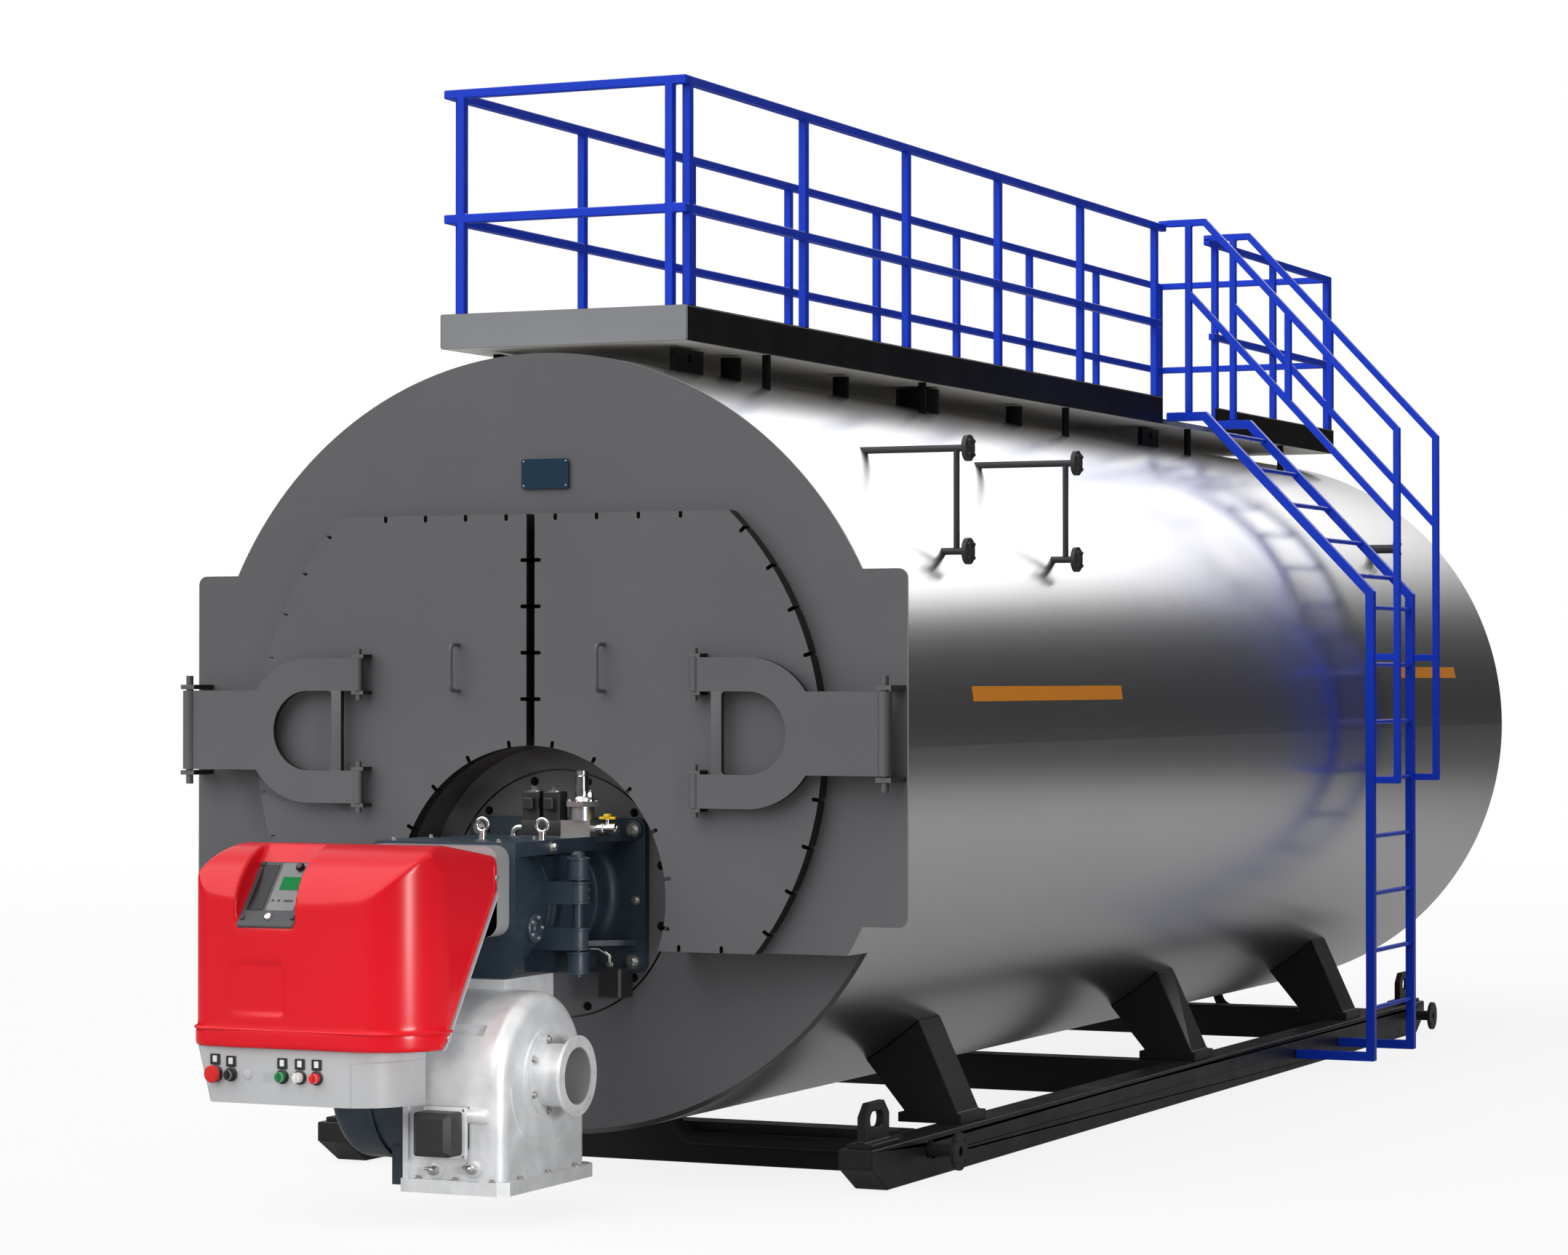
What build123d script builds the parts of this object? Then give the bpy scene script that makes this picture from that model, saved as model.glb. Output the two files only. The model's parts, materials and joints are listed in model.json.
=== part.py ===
"""Horizontal fire-tube boiler on a skid: hinged burner, smoke-box doors, top platform and stair."""

import os
from math import asin, cos, degrees, hypot, pi, radians, sin, sqrt

from build123d import *

os.makedirs("parts", exist_ok=True)

# Sizes are in millimetres. X is to the right seen from the front, Y runs back along the boiler, Z is up.
# The origin is on the floor, below the boiler's axis, half-way along the skid.

# Skid
skid_length = 8790
skid_half_width = 1380
beam_width = 160
beam_height = 190
beam_bevel = 180
beam_nose = 85
cross_beam_width = 160
cross_beam_setback = 720
skid_lug_length = 280
skid_lug_height = 170
skid_lug_thickness = 36
skid_lug_setback = 60
skid_lug_pad = 20
skid_lug_chamfer = 57
skid_lug_slot_lift = 94
skid_lug_slot_length = 135
skid_lug_slot_height = 68

# Vessel
jacket_radius = 1700
jacket_wall = 20
belly_clearance = 35
front_overhang = 445
rear_overhang = 705
plate_thickness = 12
end_plate_thickness = 30
smoke_box_depth = 210
smoke_box_drop = 870
smoke_box_floor_thickness = 12
ear_reach = 32
ear_half_height = 748
ear_corner = 40
seat_gap = 0.3

# Saddles
saddle_setback = 1115
saddle_middle_offset = 20
saddle_rear_setback = 1585
saddle_thickness = 263
saddle_pad = 44
saddle_pad_margin = 25
saddle_foot_inset = 55
saddle_width = 263
saddle_outer_angle = 41.7
saddle_inner_angle = 30.7

# Smoke-box doors
door_margin = 323
door_thickness = 70
door_top = 1000
door_gap = 40
door_seat = 6
door_rim = 60
cutout_radius = 650
throat_wall = 40
notch_width = 17
notch_depth = 30
notch_pitch = 200
handle_x = 355
handle_low = 236
handle_height = 200
handle_reach = 70
handle_rod = 9
handle_bend = 26

# Door arms and their hinges
arm_height = 60
arm_standoff = 50
arm_thickness = 28
arm_pin_inset = 42
arm_bar_half = 175
arm_fork_half = 318
arm_eye_from_pin = 620
arm_web_from_pin = 742
arm_web = 48
arm_tine_from_pin = 872
arm_corner = 20
pin_radius = 16
pin_overrun = 40
knuckle_radius = 30
tine_sleeve_radius = 21
tine_pin_radius = 13
tine_pin_overrun = 24
pin_clearance = 0.3
lug_thickness = 20
lug_clearance = 6
lug_width = 70
tine_lug_thickness = 16

# Burner opening
burner_drop = 651
burner_plate_radius = 536
burner_plate_gap = 9
burner_plate_thickness = 20
furnace_radius = 480
furnace_wall = 14
furnace_length = 6800
blast_tube_radius = 210
blast_tube_wall = 8
blast_tube_reach = 320

# Burner
flange_half_width = 430
flange_half_height = 335
flange_thickness = 40
flange_corner = 45
neck_radius = 262
neck_flare = 48
neck_wall = 26
neck_deck_half_width = 285
neck_deck_thickness = 60
gusset_length = 190
gusset_thickness = 24
gusset_drop = 215
split_y = 370
split_gap = 6
body_left = 400
body_right = 300
body_bottom = 300
body_length = 390
body_corner = 60
body_deck_inset = 40
back_box_inset = 30
back_box_drop = 66
back_box_height = 320
cover_left = 800
cover_right = 282
cover_rear = 870
cover_front = 1560
cover_top = 318
cover_bottom = 548
cover_bow = 18
cover_corner = 280
cover_left_corner = 120
cover_crown = 300
cover_fall = 106
cover_left_shoulder = 260
cover_right_shoulder = 170
cover_lip = 6
cover_lip_height = 74
cover_slope_top = 70
cover_slope_length = 450
window_left = 557
window_right = 280
window_drop = 392
window_height = 345
window_reach = 270
recess_left = 587
recess_right = 324
recess_low = 134
recess_height = 215
recess_corner = 28
recess_setback = 17
tray_height = 225
tray_clearance = 12
tray_inset = 34
tray_right_inset = 150
tray_taper = 60
tray_corner = 230
tray_left_corner = 40
button_row = ((-665, 26), (-590, 20), (-349, 20), (-267, 20), (-189, 20))
button_reach = 34
button_lift = 115
hinge_x = 400
hinge_y = 400
burner_pin_radius = 22
burner_knuckle_radius = 45
burner_knuckle_height = 95
burner_hinge_top = 190
burner_hinge_bottom = 300
hinge_arm_width = 50
hinge_arm_root = 130
eye_bolt_places = ((-20, 90), (255, 70))
eye_bolt_ring = 27
eye_bolt_rod = 8
eye_bolt_collar = 17
eye_bolt_shank = 34
switch_x = 315
switch_width = 110
switch_depth = 120
switch_height = 130
switch_lap = 28
switch_edge = 10
fan_left = 20
fan_right = 470
fan_centre_y = 820
fan_drop = 710
fan_radius = 370
fan_base_drop = 1135
fan_base_flange = 30
fan_base_height = 55
fan_base_corner = 40
fan_corner = 60
fan_flange = 14
fan_flange_thickness = 24
fan_groove_radius = 26
fan_groove_angle = 38
fan_groove_end = 120
intake_radius = 118
intake_wall = 10
intake_flange_radius = 165
intake_flange_thickness = 14
intake_reach = 150
intake_ring_thickness = 12
intake_lift = 30
intake_bolt_circle = 145
intake_bolt_hole = 7
intake_bolt_count = 8
scroll_radius = 340
scroll_length = 390
scroll_rib = 10
scroll_rib_width = 22
scroll_rib_offset = 180
scroll_foot_length = 150
scroll_foot_half = 210
servo_width = 200
servo_depth = 145
servo_height = 165
servo_setback = 150
servo_collar = 35
servo_inset = 17
servo_bevel = 28

# Pilot gas train on the neck
train_y = 60
train_left = 30
train_right = 300
train_half_width = 38
train_block_height = 70
solenoid_places = (14, 113)
solenoid_radius = 37
solenoid_height = 125
solenoid_nut_radius = 12
solenoid_nut_height = 14
regulator_x = 243
regulator_radius = 54
regulator_body_height = 60
regulator_hex = 78
regulator_hex_height = 22
regulator_cap_radius = 26
regulator_cap_height = 130
elbow_reach = 60
elbow_radius = 15
elbow_bend = 30
valve_reach = 118
valve_radius = 17

# Platform
platform_setback = 213
platform_rear_setback = 77
platform_width = 1220
deck_lift = 53
deck_thickness = 30
toe_height = 154
toe_thickness = 10
rail_height = 1000
mid_rail_height = 444
rail_bar = 40
rail_setback = 65
front_post_inset = 95
right_bays = 5
rear_bays = 2
left_bays = 8
stair_gap_setback = 2421
stair_gap_width = 967
support_inset = 35
support_radius = 20
support_front_setbacks = (895, 2735, 4755)
support_rear_setbacks = (2855, 1050)

# Stair
stringer_bar = 50
stair_inset = 75
stringer_lift = 42
stringer_landing = 228
ladder_clearance = 115
stringer_knee = 770
stringer_foot = 85
rung_pitch = 323
rung_first_drop = 80
rung_radius = 13
rung_count = 8
slope_rung_count = 5
handrail_bar = 38
handrail_offset = 155
handrail_lift = 1157
handrail_knee = 1690
handrail_foot = 282
handrail_mid_drop = 510
handrail_post_landing = 130
handrail_mid_post = 497
tie_height = 410

# Fittings
gauge_positions = (1030, 2400)
gauge_pipe_radius = 16
gauge_column_radius = 14
gauge_top_drop = 395
gauge_span = 455
gauge_flange_inset = 100
gauge_column_inset = 165
gauge_flange_radius = 59
gauge_flange_thickness = 20
nozzle_rear_setback = 1670
nozzle_top_drop = 625
nozzle_radius = 27
nozzle_stub = 173
blowdown_setback = 645
blowdown_rear_setback = 335
blowdown_radius = 30
blowdown_height = 125
blowdown_bend = 100
blowdown_drop_x = 130
blowdown_stub = 150
blowdown_flange_radius = 84
blowdown_flange_thickness = 18
blowdown_bolt_circle = 130
blowdown_bolt_hole = 7
blowdown_bolt_count = 4
blowdown_bore = 22
blowdown_bore_depth = 66
sleeve_clearance = 6
top_nozzle_x = 420
top_nozzles_at = ((1060, 48), (2300, 40), (3260, 110), (4600, 45))
top_nozzle_gap = 12
shell_lug_x = 440
shell_lug_setback = 560
shell_lug_rear_setback = 3240
shell_lug_length = 280
shell_lug_thickness = 30
shell_lug_eye = 20
shell_lug_eye_drop = 40

# Rear end
flue_width = 760
flue_height = 460
flue_lift = 860
flue_reach = 260
flue_wall = 12
flue_rim = 60
manhole_radius = 290
manhole_drop = 760
manhole_thickness = 40
manhole_edge = 10

# Places worked out from the sizes above
axis_z = beam_height + belly_clearance + jacket_radius
skid_front = -skid_length / 2
skid_rear = skid_length / 2
front_y = skid_front - front_overhang
rear_y = skid_rear + rear_overhang
jacket_length = rear_y - front_y
ear_half_width = jacket_radius + ear_reach
arm_pin_x = ear_half_width - arm_pin_inset
door_radius = jacket_radius - door_margin
end_y = front_y + smoke_box_depth
notch_z = axis_z - smoke_box_drop
burner_z = axis_z - burner_drop
vessel_radius = jacket_radius - jacket_wall
seat_radius = jacket_radius + seat_gap
door_back = front_y - door_seat
door_front = door_back - door_thickness
arm_back = door_front - arm_standoff
arm_front = arm_back - arm_thickness
arm_mid = (arm_back + arm_front) / 2
arm_z = axis_z + arm_height
throat_radius = cutout_radius + throat_wall
deck_z = axis_z + jacket_radius + deck_lift
deck_top = deck_z + deck_thickness
toe_top = deck_z + toe_height
rail_top = toe_top + rail_height
mid_rail_z = toe_top + mid_rail_height
platform_front = front_y + platform_setback
platform_rear = rear_y - platform_rear_setback
platform_half = platform_width / 2
stair_gap_rear = platform_rear - stair_gap_setback
stair_gap_front = stair_gap_rear - stair_gap_width
saddle_fronts = (skid_front + saddle_setback, saddle_middle_offset, skid_rear - saddle_rear_setback)
blowdown_ys = (skid_front + blowdown_setback, skid_rear - blowdown_rear_setback)


def front_plane(y):
    """Plane across the boiler at Y = y, facing the front, with its own x along X and its y along Z."""
    return Plane.XZ.offset(-y)


def side_plane(x):
    """Plane along the boiler at X = x, facing right, with its own x along Y and its y along Z."""
    return Plane.YZ.offset(x)


def block(x_span, y_span, z_span, mode=Mode.ADD):
    """Rectangular block between two limits on each axis, in the part being built."""
    with Locations((sum(x_span) / 2, sum(y_span) / 2, sum(z_span) / 2)):
        Box(x_span[1] - x_span[0], y_span[1] - y_span[0], z_span[1] - z_span[0], mode=mode)


def shell_height(x, radius=jacket_radius):
    """Height of the jacket's upper surface above the floor at a distance x from the centre plane."""
    return axis_z + sqrt(radius**2 - x**2)


def shell_reach(z, radius=jacket_radius):
    """Distance of the jacket's side from the centre plane at a height z above the floor."""
    return sqrt(radius**2 - (z - axis_z) ** 2)


def cut_to_shell(y_low, y_high):
    """Trims the part being built to a hair's breadth off the jacket's surface."""
    with BuildSketch(front_plane(y_high)) as vessel:
        with Locations((0, axis_z)):
            Circle(seat_radius)
    extrude(vessel.sketch, amount=y_high - y_low, mode=Mode.SUBTRACT)


def band(points, width):
    """Outline of a flat bar of the given width along an open run of points, with mitred corners."""
    sides = ([], [])
    for i, (x, z) in enumerate(points):
        before = points[max(i - 1, 0)]
        after = points[min(i + 1, len(points) - 1)]
        turns = []
        for (ax, az), (bx, bz) in ((before, (x, z)), ((x, z), after)):
            length = hypot(bx - ax, bz - az)
            if length > 0:
                turns.append((-(bz - az) / length, (bx - ax) / length))
        nx = sum(t[0] for t in turns) / len(turns)
        nz = sum(t[1] for t in turns) / len(turns)
        reach = width / 2 / (nx**2 + nz**2)
        sides[0].append((x + nx * reach, z + nz * reach))
        sides[1].append((x - nx * reach, z - nz * reach))
    return sides[0] + sides[1][::-1]


def flat_bar(points, width, y_span):
    """Bar in a plane across the boiler, along a run of points, in the part being built."""
    with BuildSketch(front_plane(y_span[1])) as outline:
        with BuildLine():
            Polyline(*band(points, width), close=True)
        make_face()
    extrude(outline.sketch, amount=y_span[1] - y_span[0])


def save(builder, name):
    builder.part.label = name
    export_step(builder.part, f"parts/{name}.step")


# Skid beams: closed box sections with bevelled ends, bored for the blowdown pipes on the right
with BuildPart() as skid_beams:
    with BuildSketch(side_plane(skid_half_width - beam_width)):
        with BuildLine():
            Polyline(
                (skid_front, beam_height),
                (skid_front, beam_height - beam_nose),
                (skid_front + beam_bevel, 0),
                (skid_rear - beam_bevel, 0),
                (skid_rear, beam_height - beam_nose),
                (skid_rear, beam_height),
                close=True,
            )
        make_face()
    extrude(amount=beam_width)
    mirror(about=Plane.YZ)
    with BuildSketch(side_plane(skid_half_width)):
        with Locations([(y, blowdown_height) for y in blowdown_ys]):
            Circle(blowdown_radius + sleeve_clearance)
    extrude(amount=-beam_width, mode=Mode.SUBTRACT)
save(skid_beams, "skid_beams")

# Cross beams between the skid beams; the middle one carries the part's origin
cross_half = skid_half_width - beam_width
cross_front = skid_front + cross_beam_setback
with BuildPart() as cross_beams:
    with Locations(
        (0, cross_front + cross_beam_width / 2, beam_height / 2),
        (0, 0, beam_height / 2),
        (0, -cross_front - cross_beam_width / 2, beam_height / 2),
    ):
        Box(2 * cross_half, cross_beam_width, beam_height)
save(cross_beams, "cross_beams")

# Saddle legs that lean out from under the shell to pads on the skid beams
pad_top = beam_height + saddle_pad
saddle_foot_outer = skid_half_width - saddle_foot_inset
saddle_foot_inner = saddle_foot_outer - saddle_width
saddle_top_outer = jacket_radius * sin(radians(saddle_outer_angle))
saddle_top_inner = jacket_radius * sin(radians(saddle_inner_angle))
saddle_outer_z = axis_z - jacket_radius * cos(radians(saddle_outer_angle))
saddle_inner_z = axis_z - jacket_radius * cos(radians(saddle_inner_angle))
with BuildPart() as saddles:
    for saddle_front in saddle_fronts:
        with BuildSketch(front_plane(saddle_front + saddle_thickness)):
            with BuildLine():
                Polyline(
                    (saddle_foot_inner, pad_top),
                    (saddle_foot_outer, pad_top),
                    (saddle_top_outer, saddle_outer_z),
                    (saddle_top_inner, saddle_outer_z),
                    (saddle_top_inner, saddle_inner_z),
                    close=True,
                )
            make_face()
            with Locations((0, axis_z)):
                Circle(seat_radius, mode=Mode.SUBTRACT)
        extrude(amount=saddle_thickness)
        block(
            (saddle_foot_inner - saddle_pad_margin, saddle_foot_outer + saddle_pad_margin),
            (saddle_front - saddle_pad_margin, saddle_front + saddle_thickness + saddle_pad_margin),
            (beam_height, pad_top),
        )
    mirror(about=Plane.YZ)
save(saddles, "saddles")

# Lifting lugs on the skid beams, each on its own pad
lug_centre = skid_length / 2 - skid_lug_setback - skid_lug_length / 2
with BuildPart() as skid_lugs:
    for end in (-1, 1):
        block(
            (skid_half_width - beam_width + skid_lug_pad, skid_half_width - skid_lug_pad),
            (
                end * lug_centre - skid_lug_length / 2 - skid_lug_pad,
                end * lug_centre + skid_lug_length / 2 + skid_lug_pad,
            ),
            (beam_height, beam_height + skid_lug_pad),
        )
        with BuildSketch(side_plane(skid_half_width - beam_width / 2 - skid_lug_thickness / 2)):
            with Locations((end * lug_centre, beam_height + skid_lug_pad + skid_lug_height / 2)):
                Rectangle(skid_lug_length, skid_lug_height)
            top_corners = vertices().group_by(Axis.Y)[-1]
            chamfer(top_corners, length=skid_lug_chamfer)
            with Locations((end * lug_centre, beam_height + skid_lug_pad + skid_lug_slot_lift)):
                SlotOverall(skid_lug_slot_length, skid_lug_slot_height, mode=Mode.SUBTRACT)
        extrude(amount=skid_lug_thickness)
    mirror(about=Plane.YZ)
save(skid_lugs, "skid_lugs")

# Jacket: an open shell, cut back below the smoke box
with BuildPart() as jacket:
    with BuildSketch(front_plane(rear_y)):
        with Locations((0, axis_z)):
            Circle(jacket_radius)
            Circle(vessel_radius, mode=Mode.SUBTRACT)
    extrude(amount=jacket_length - plate_thickness)
    block(
        (-jacket_radius, jacket_radius),
        (front_y, end_y),
        (axis_z - jacket_radius, notch_z),
        mode=Mode.SUBTRACT,
    )
save(jacket, "jacket")

# Front end plate, seated inside the jacket, with a stepped hole for the burner plate
with BuildPart() as front_end_plate:
    with BuildSketch(front_plane(end_y)):
        with Locations((0, axis_z)):
            Circle(vessel_radius - seat_gap)
        with Locations((0, burner_z)):
            Circle(furnace_radius, mode=Mode.SUBTRACT)
    extrude(amount=-end_plate_thickness)
    with BuildSketch(front_plane(end_y)):
        with Locations((0, burner_z)):
            Circle(burner_plate_radius + burner_plate_gap)
    extrude(amount=-burner_plate_thickness, mode=Mode.SUBTRACT)
save(front_end_plate, "front_end_plate")

# Burner plate, lying in the step of the end plate
with BuildPart() as burner_plate:
    with BuildSketch(front_plane(end_y)):
        with Locations((0, burner_z)):
            Circle(burner_plate_radius)
            Circle(blast_tube_radius + seat_gap, mode=Mode.SUBTRACT)
    extrude(amount=-burner_plate_thickness)
save(burner_plate, "burner_plate")

# Furnace tube behind the burner plate
furnace_front = end_y + end_plate_thickness
with BuildPart() as furnace_tube:
    with BuildSketch(front_plane(furnace_front)):
        with Locations((0, burner_z)):
            Circle(furnace_radius + furnace_wall)
            Circle(furnace_radius, mode=Mode.SUBTRACT)
    extrude(amount=-furnace_length)
save(furnace_tube, "furnace_tube")

# Front plate with square ears for the door hinges and an opening behind the doors
with BuildPart() as front_plate:
    with BuildSketch(front_plane(front_y)):
        with Locations((0, axis_z)):
            Circle(jacket_radius)
            RectangleRounded(2 * ear_half_width, 2 * ear_half_height, ear_corner)
        with Locations((0, notch_z - jacket_radius / 2)):
            Rectangle(2 * jacket_radius, jacket_radius, mode=Mode.SUBTRACT)
    extrude(amount=-plate_thickness)
    with BuildSketch(front_plane(front_y)):
        with Locations((0, axis_z)):
            Circle(door_radius - door_rim)
        with Locations((0, axis_z + (door_top - smoke_box_drop) / 2)):
            Rectangle(2 * door_radius, door_top + smoke_box_drop - 2 * door_rim, mode=Mode.INTERSECT)
        with Locations((0, burner_z)):
            Circle(throat_radius + seat_gap)
    extrude(amount=-plate_thickness, mode=Mode.SUBTRACT)
save(front_plate, "front_plate")

# Smoke-box walls: the floor on each side of the burner, and the throat wall round it
floor_half = shell_reach(notch_z + smoke_box_floor_thickness, vessel_radius) - seat_gap
with BuildPart() as smoke_box_walls:
    block(
        (-floor_half, floor_half),
        (front_y + plate_thickness, end_y),
        (notch_z, notch_z + smoke_box_floor_thickness),
    )
    with BuildSketch(front_plane(end_y)):
        with Locations((0, axis_z)):
            Circle(vessel_radius - seat_gap)
    extrude(amount=smoke_box_depth, mode=Mode.INTERSECT)
    with BuildSketch(front_plane(end_y)):
        with Locations((0, burner_z)):
            Circle(throat_radius + seat_gap)
    extrude(amount=smoke_box_depth, mode=Mode.SUBTRACT)
    with BuildSketch(front_plane(end_y)):
        with Locations((0, burner_z)):
            Circle(throat_radius)
            Circle(cutout_radius, mode=Mode.SUBTRACT)
        with Locations((0, notch_z - throat_radius)):
            Rectangle(2 * throat_radius, 2 * throat_radius, mode=Mode.SUBTRACT)
    extrude(amount=smoke_box_depth)
save(smoke_box_walls, "smoke_box_walls")

# Rear end plate with the flue outlet and an inspection cover
with BuildPart() as rear_end_plate:
    with BuildSketch(front_plane(rear_y)):
        with Locations((0, axis_z)):
            Circle(vessel_radius - seat_gap)
        with Locations((0, axis_z + flue_lift)):
            Rectangle(flue_width - 2 * flue_wall, flue_height - 2 * flue_wall, mode=Mode.SUBTRACT)
    extrude(amount=end_plate_thickness)
    with BuildSketch(front_plane(rear_y)):
        with Locations((0, axis_z - manhole_drop)):
            Circle(manhole_radius)
    extrude(amount=-manhole_thickness)
    fillet(edges().group_by(Axis.Y)[-1], radius=manhole_edge)
save(rear_end_plate, "rear_end_plate")

with BuildPart() as flue_outlet:
    with BuildSketch(front_plane(rear_y)):
        with Locations((0, axis_z + flue_lift)):
            Rectangle(flue_width, flue_height)
            Rectangle(flue_width - 2 * flue_wall, flue_height - 2 * flue_wall, mode=Mode.SUBTRACT)
    extrude(amount=-flue_reach)
    with BuildSketch(front_plane(rear_y + flue_reach)):
        with Locations((0, axis_z + flue_lift)):
            Rectangle(flue_width + 2 * flue_rim, flue_height + 2 * flue_rim)
            Rectangle(flue_width - 2 * flue_wall, flue_height - 2 * flue_wall, mode=Mode.SUBTRACT)
    extrude(amount=flue_wall)
save(flue_outlet, "flue_outlet")

# Smoke-box doors: thick slabs with open bolt notches along every edge
door_bottom = notch_z
half_gap = door_gap / 2
door_top_z = axis_z + door_top
corner_top = sqrt(door_radius**2 - door_top**2)
corner_bottom = sqrt(door_radius**2 - smoke_box_drop**2)
cutout_drop = burner_z - door_bottom
cutout_foot = sqrt(cutout_radius**2 - cutout_drop**2)


def edge_notches():
    """Places and directions of the notches along the edges of the right-hand door."""
    places = []
    x = half_gap + notch_pitch / 2
    while x < corner_top - notch_pitch / 4:
        places.append((x, door_top_z, 90))
        x += notch_pitch
    z = door_top_z - notch_pitch
    while z > burner_z + cutout_radius + notch_pitch / 4:
        places.append((half_gap, z, 0))
        z -= notch_pitch
    x = cutout_foot + notch_pitch / 2
    while x < corner_bottom - notch_pitch / 4:
        places.append((x, door_bottom, 90))
        x += notch_pitch
    arcs = (
        (axis_z, door_radius, -asin(smoke_box_drop / door_radius), asin(door_top / door_radius)),
        (burner_z, cutout_radius, -asin(cutout_drop / cutout_radius), pi / 2),
    )
    for centre_z, radius, low, high in arcs:
        count = int((high - low) * radius / notch_pitch)
        for i in range(count):
            turn = low + (high - low) * (i + 0.5) / count
            places.append((radius * cos(turn), centre_z + radius * sin(turn), degrees(turn)))
    return places


with BuildPart() as right_door:
    with BuildSketch(front_plane(door_back)):
        with Locations((0, axis_z)):
            Circle(door_radius)
        with Locations(((half_gap + door_radius) / 2, (door_top_z + door_bottom) / 2)):
            Rectangle(door_radius - half_gap, door_top_z - door_bottom, mode=Mode.INTERSECT)
        with Locations((0, burner_z)):
            Circle(cutout_radius, mode=Mode.SUBTRACT)
        for x, z, turn in edge_notches():
            with Locations(Location((x, z, 0), (0, 0, turn))):
                SlotOverall(2 * notch_depth, notch_width, mode=Mode.SUBTRACT)
    extrude(amount=door_thickness)
    # Lugs that hold the pins at the ends of the arm's tines, with the pin ends standing out of them
    tine_x = arm_pin_x - arm_tine_from_pin
    for side in (-1, 1):
        for edge in (arm_bar_half, arm_fork_half):
            outward = 1 if edge == arm_fork_half else -1
            near = arm_z + side * (edge + outward * seat_gap)
            far = near + side * outward * tine_lug_thickness
            block(
                (tine_x - knuckle_radius, tine_x + knuckle_radius),
                (arm_front, door_front),
                (min(near, far), max(near, far)),
            )
            pin_end = far + side * outward * tine_pin_overrun
            with Locations((tine_x, arm_mid, (far + pin_end) / 2)):
                Cylinder(tine_pin_radius, tine_pin_overrun)
save(right_door, "right_door")

with BuildPart() as left_door:
    mirror(right_door.part, about=Plane.YZ)
save(left_door, "left_door")

# Pull handles: bent rods on the doors
handle_front = door_front - handle_reach
with BuildPart() as right_handle:
    with BuildLine() as handle_path:
        FilletPolyline(
            (handle_x, door_front, axis_z + handle_low),
            (handle_x, handle_front, axis_z + handle_low),
            (handle_x, handle_front, axis_z + handle_low + handle_height),
            (handle_x, door_front, axis_z + handle_low + handle_height),
            radius=handle_bend,
        )
    with BuildSketch(Plane(handle_path.line @ 0, z_dir=handle_path.line % 0)):
        Circle(handle_rod)
    sweep()
save(right_handle, "right_handle")

with BuildPart() as left_handle:
    mirror(right_handle.part, about=Plane.YZ)
save(left_handle, "left_handle")

# Door arms: a bar from the hinge knuckle that opens into a fork round a D-shaped eye
eye_x = arm_pin_x - arm_eye_from_pin
web_x = arm_pin_x - arm_web_from_pin
with BuildPart() as right_arm:
    with BuildSketch(front_plane(arm_back)):
        with Locations(((arm_pin_x + eye_x) / 2, arm_z)):
            Rectangle(arm_pin_x - eye_x, 2 * arm_bar_half)
        with Locations((eye_x, arm_z)):
            Circle(arm_fork_half)
        with Locations(((eye_x + tine_x) / 2, arm_z)):
            Rectangle(eye_x - tine_x, 2 * arm_fork_half)
        with Locations((tine_x - arm_fork_half, arm_z)):
            Rectangle(2 * arm_fork_half, 2 * arm_fork_half, mode=Mode.SUBTRACT)
        with Locations(((tine_x + web_x - arm_web) / 2, arm_z)):
            Rectangle(web_x - arm_web - tine_x, 2 * arm_bar_half, mode=Mode.SUBTRACT)
        with BuildSketch(mode=Mode.SUBTRACT) as eye:
            with Locations((eye_x, arm_z)):
                Circle(arm_bar_half)
            with Locations(((eye_x + web_x) / 2, arm_z)):
                Rectangle(eye_x - web_x, 2 * arm_bar_half)
            fillet(eye.vertices().group_by(Axis.X)[0], radius=arm_corner)
    extrude(amount=arm_thickness)
    # Knuckle round the hinge pin and sleeves round the tine pins
    with Locations((arm_pin_x, arm_mid, arm_z)):
        Cylinder(knuckle_radius, 2 * arm_bar_half)
        Cylinder(pin_radius + pin_clearance, 2 * arm_bar_half, mode=Mode.SUBTRACT)
    for side in (-1, 1):
        low, high = sorted((side * arm_bar_half, side * arm_fork_half))
        with Locations((tine_x, arm_mid, arm_z + (low + high) / 2)):
            Cylinder(tine_sleeve_radius, high - low)
save(right_arm, "right_arm")

with BuildPart() as left_arm:
    mirror(right_arm.part, about=Plane.YZ)
save(left_arm, "left_arm")

# Hinge brackets on the ears: two lugs and the pin for each arm
lug_low = arm_bar_half + lug_clearance
with BuildPart() as hinge_brackets:
    for side in (-1, 1):
        near, far = sorted((arm_z + side * lug_low, arm_z + side * (lug_low + lug_thickness)))
        block(
            (arm_pin_x - lug_width / 2, arm_pin_x + lug_width / 2),
            (arm_front - lug_clearance, front_y),
            (near, far),
        )
    with Locations((arm_pin_x, arm_mid, arm_z)):
        Cylinder(pin_radius, 2 * (lug_low + lug_thickness + pin_overrun))
    mirror(about=Plane.YZ)
save(hinge_brackets, "hinge_brackets")

# Platform deck on the supports
with BuildPart() as platform_deck:
    block(
        (toe_thickness - platform_half, platform_half - toe_thickness),
        (platform_front + toe_thickness, platform_rear - toe_thickness),
        (deck_z, deck_top),
    )
save(platform_deck, "platform_deck")

# Toe boards: the front one alone, then the sides and the rear
with BuildPart() as toe_board_front:
    toe_span = (platform_front, platform_front + toe_thickness)
    block((-platform_half, platform_half), toe_span, (deck_z, toe_top))
save(toe_board_front, "toe_board_front")

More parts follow.
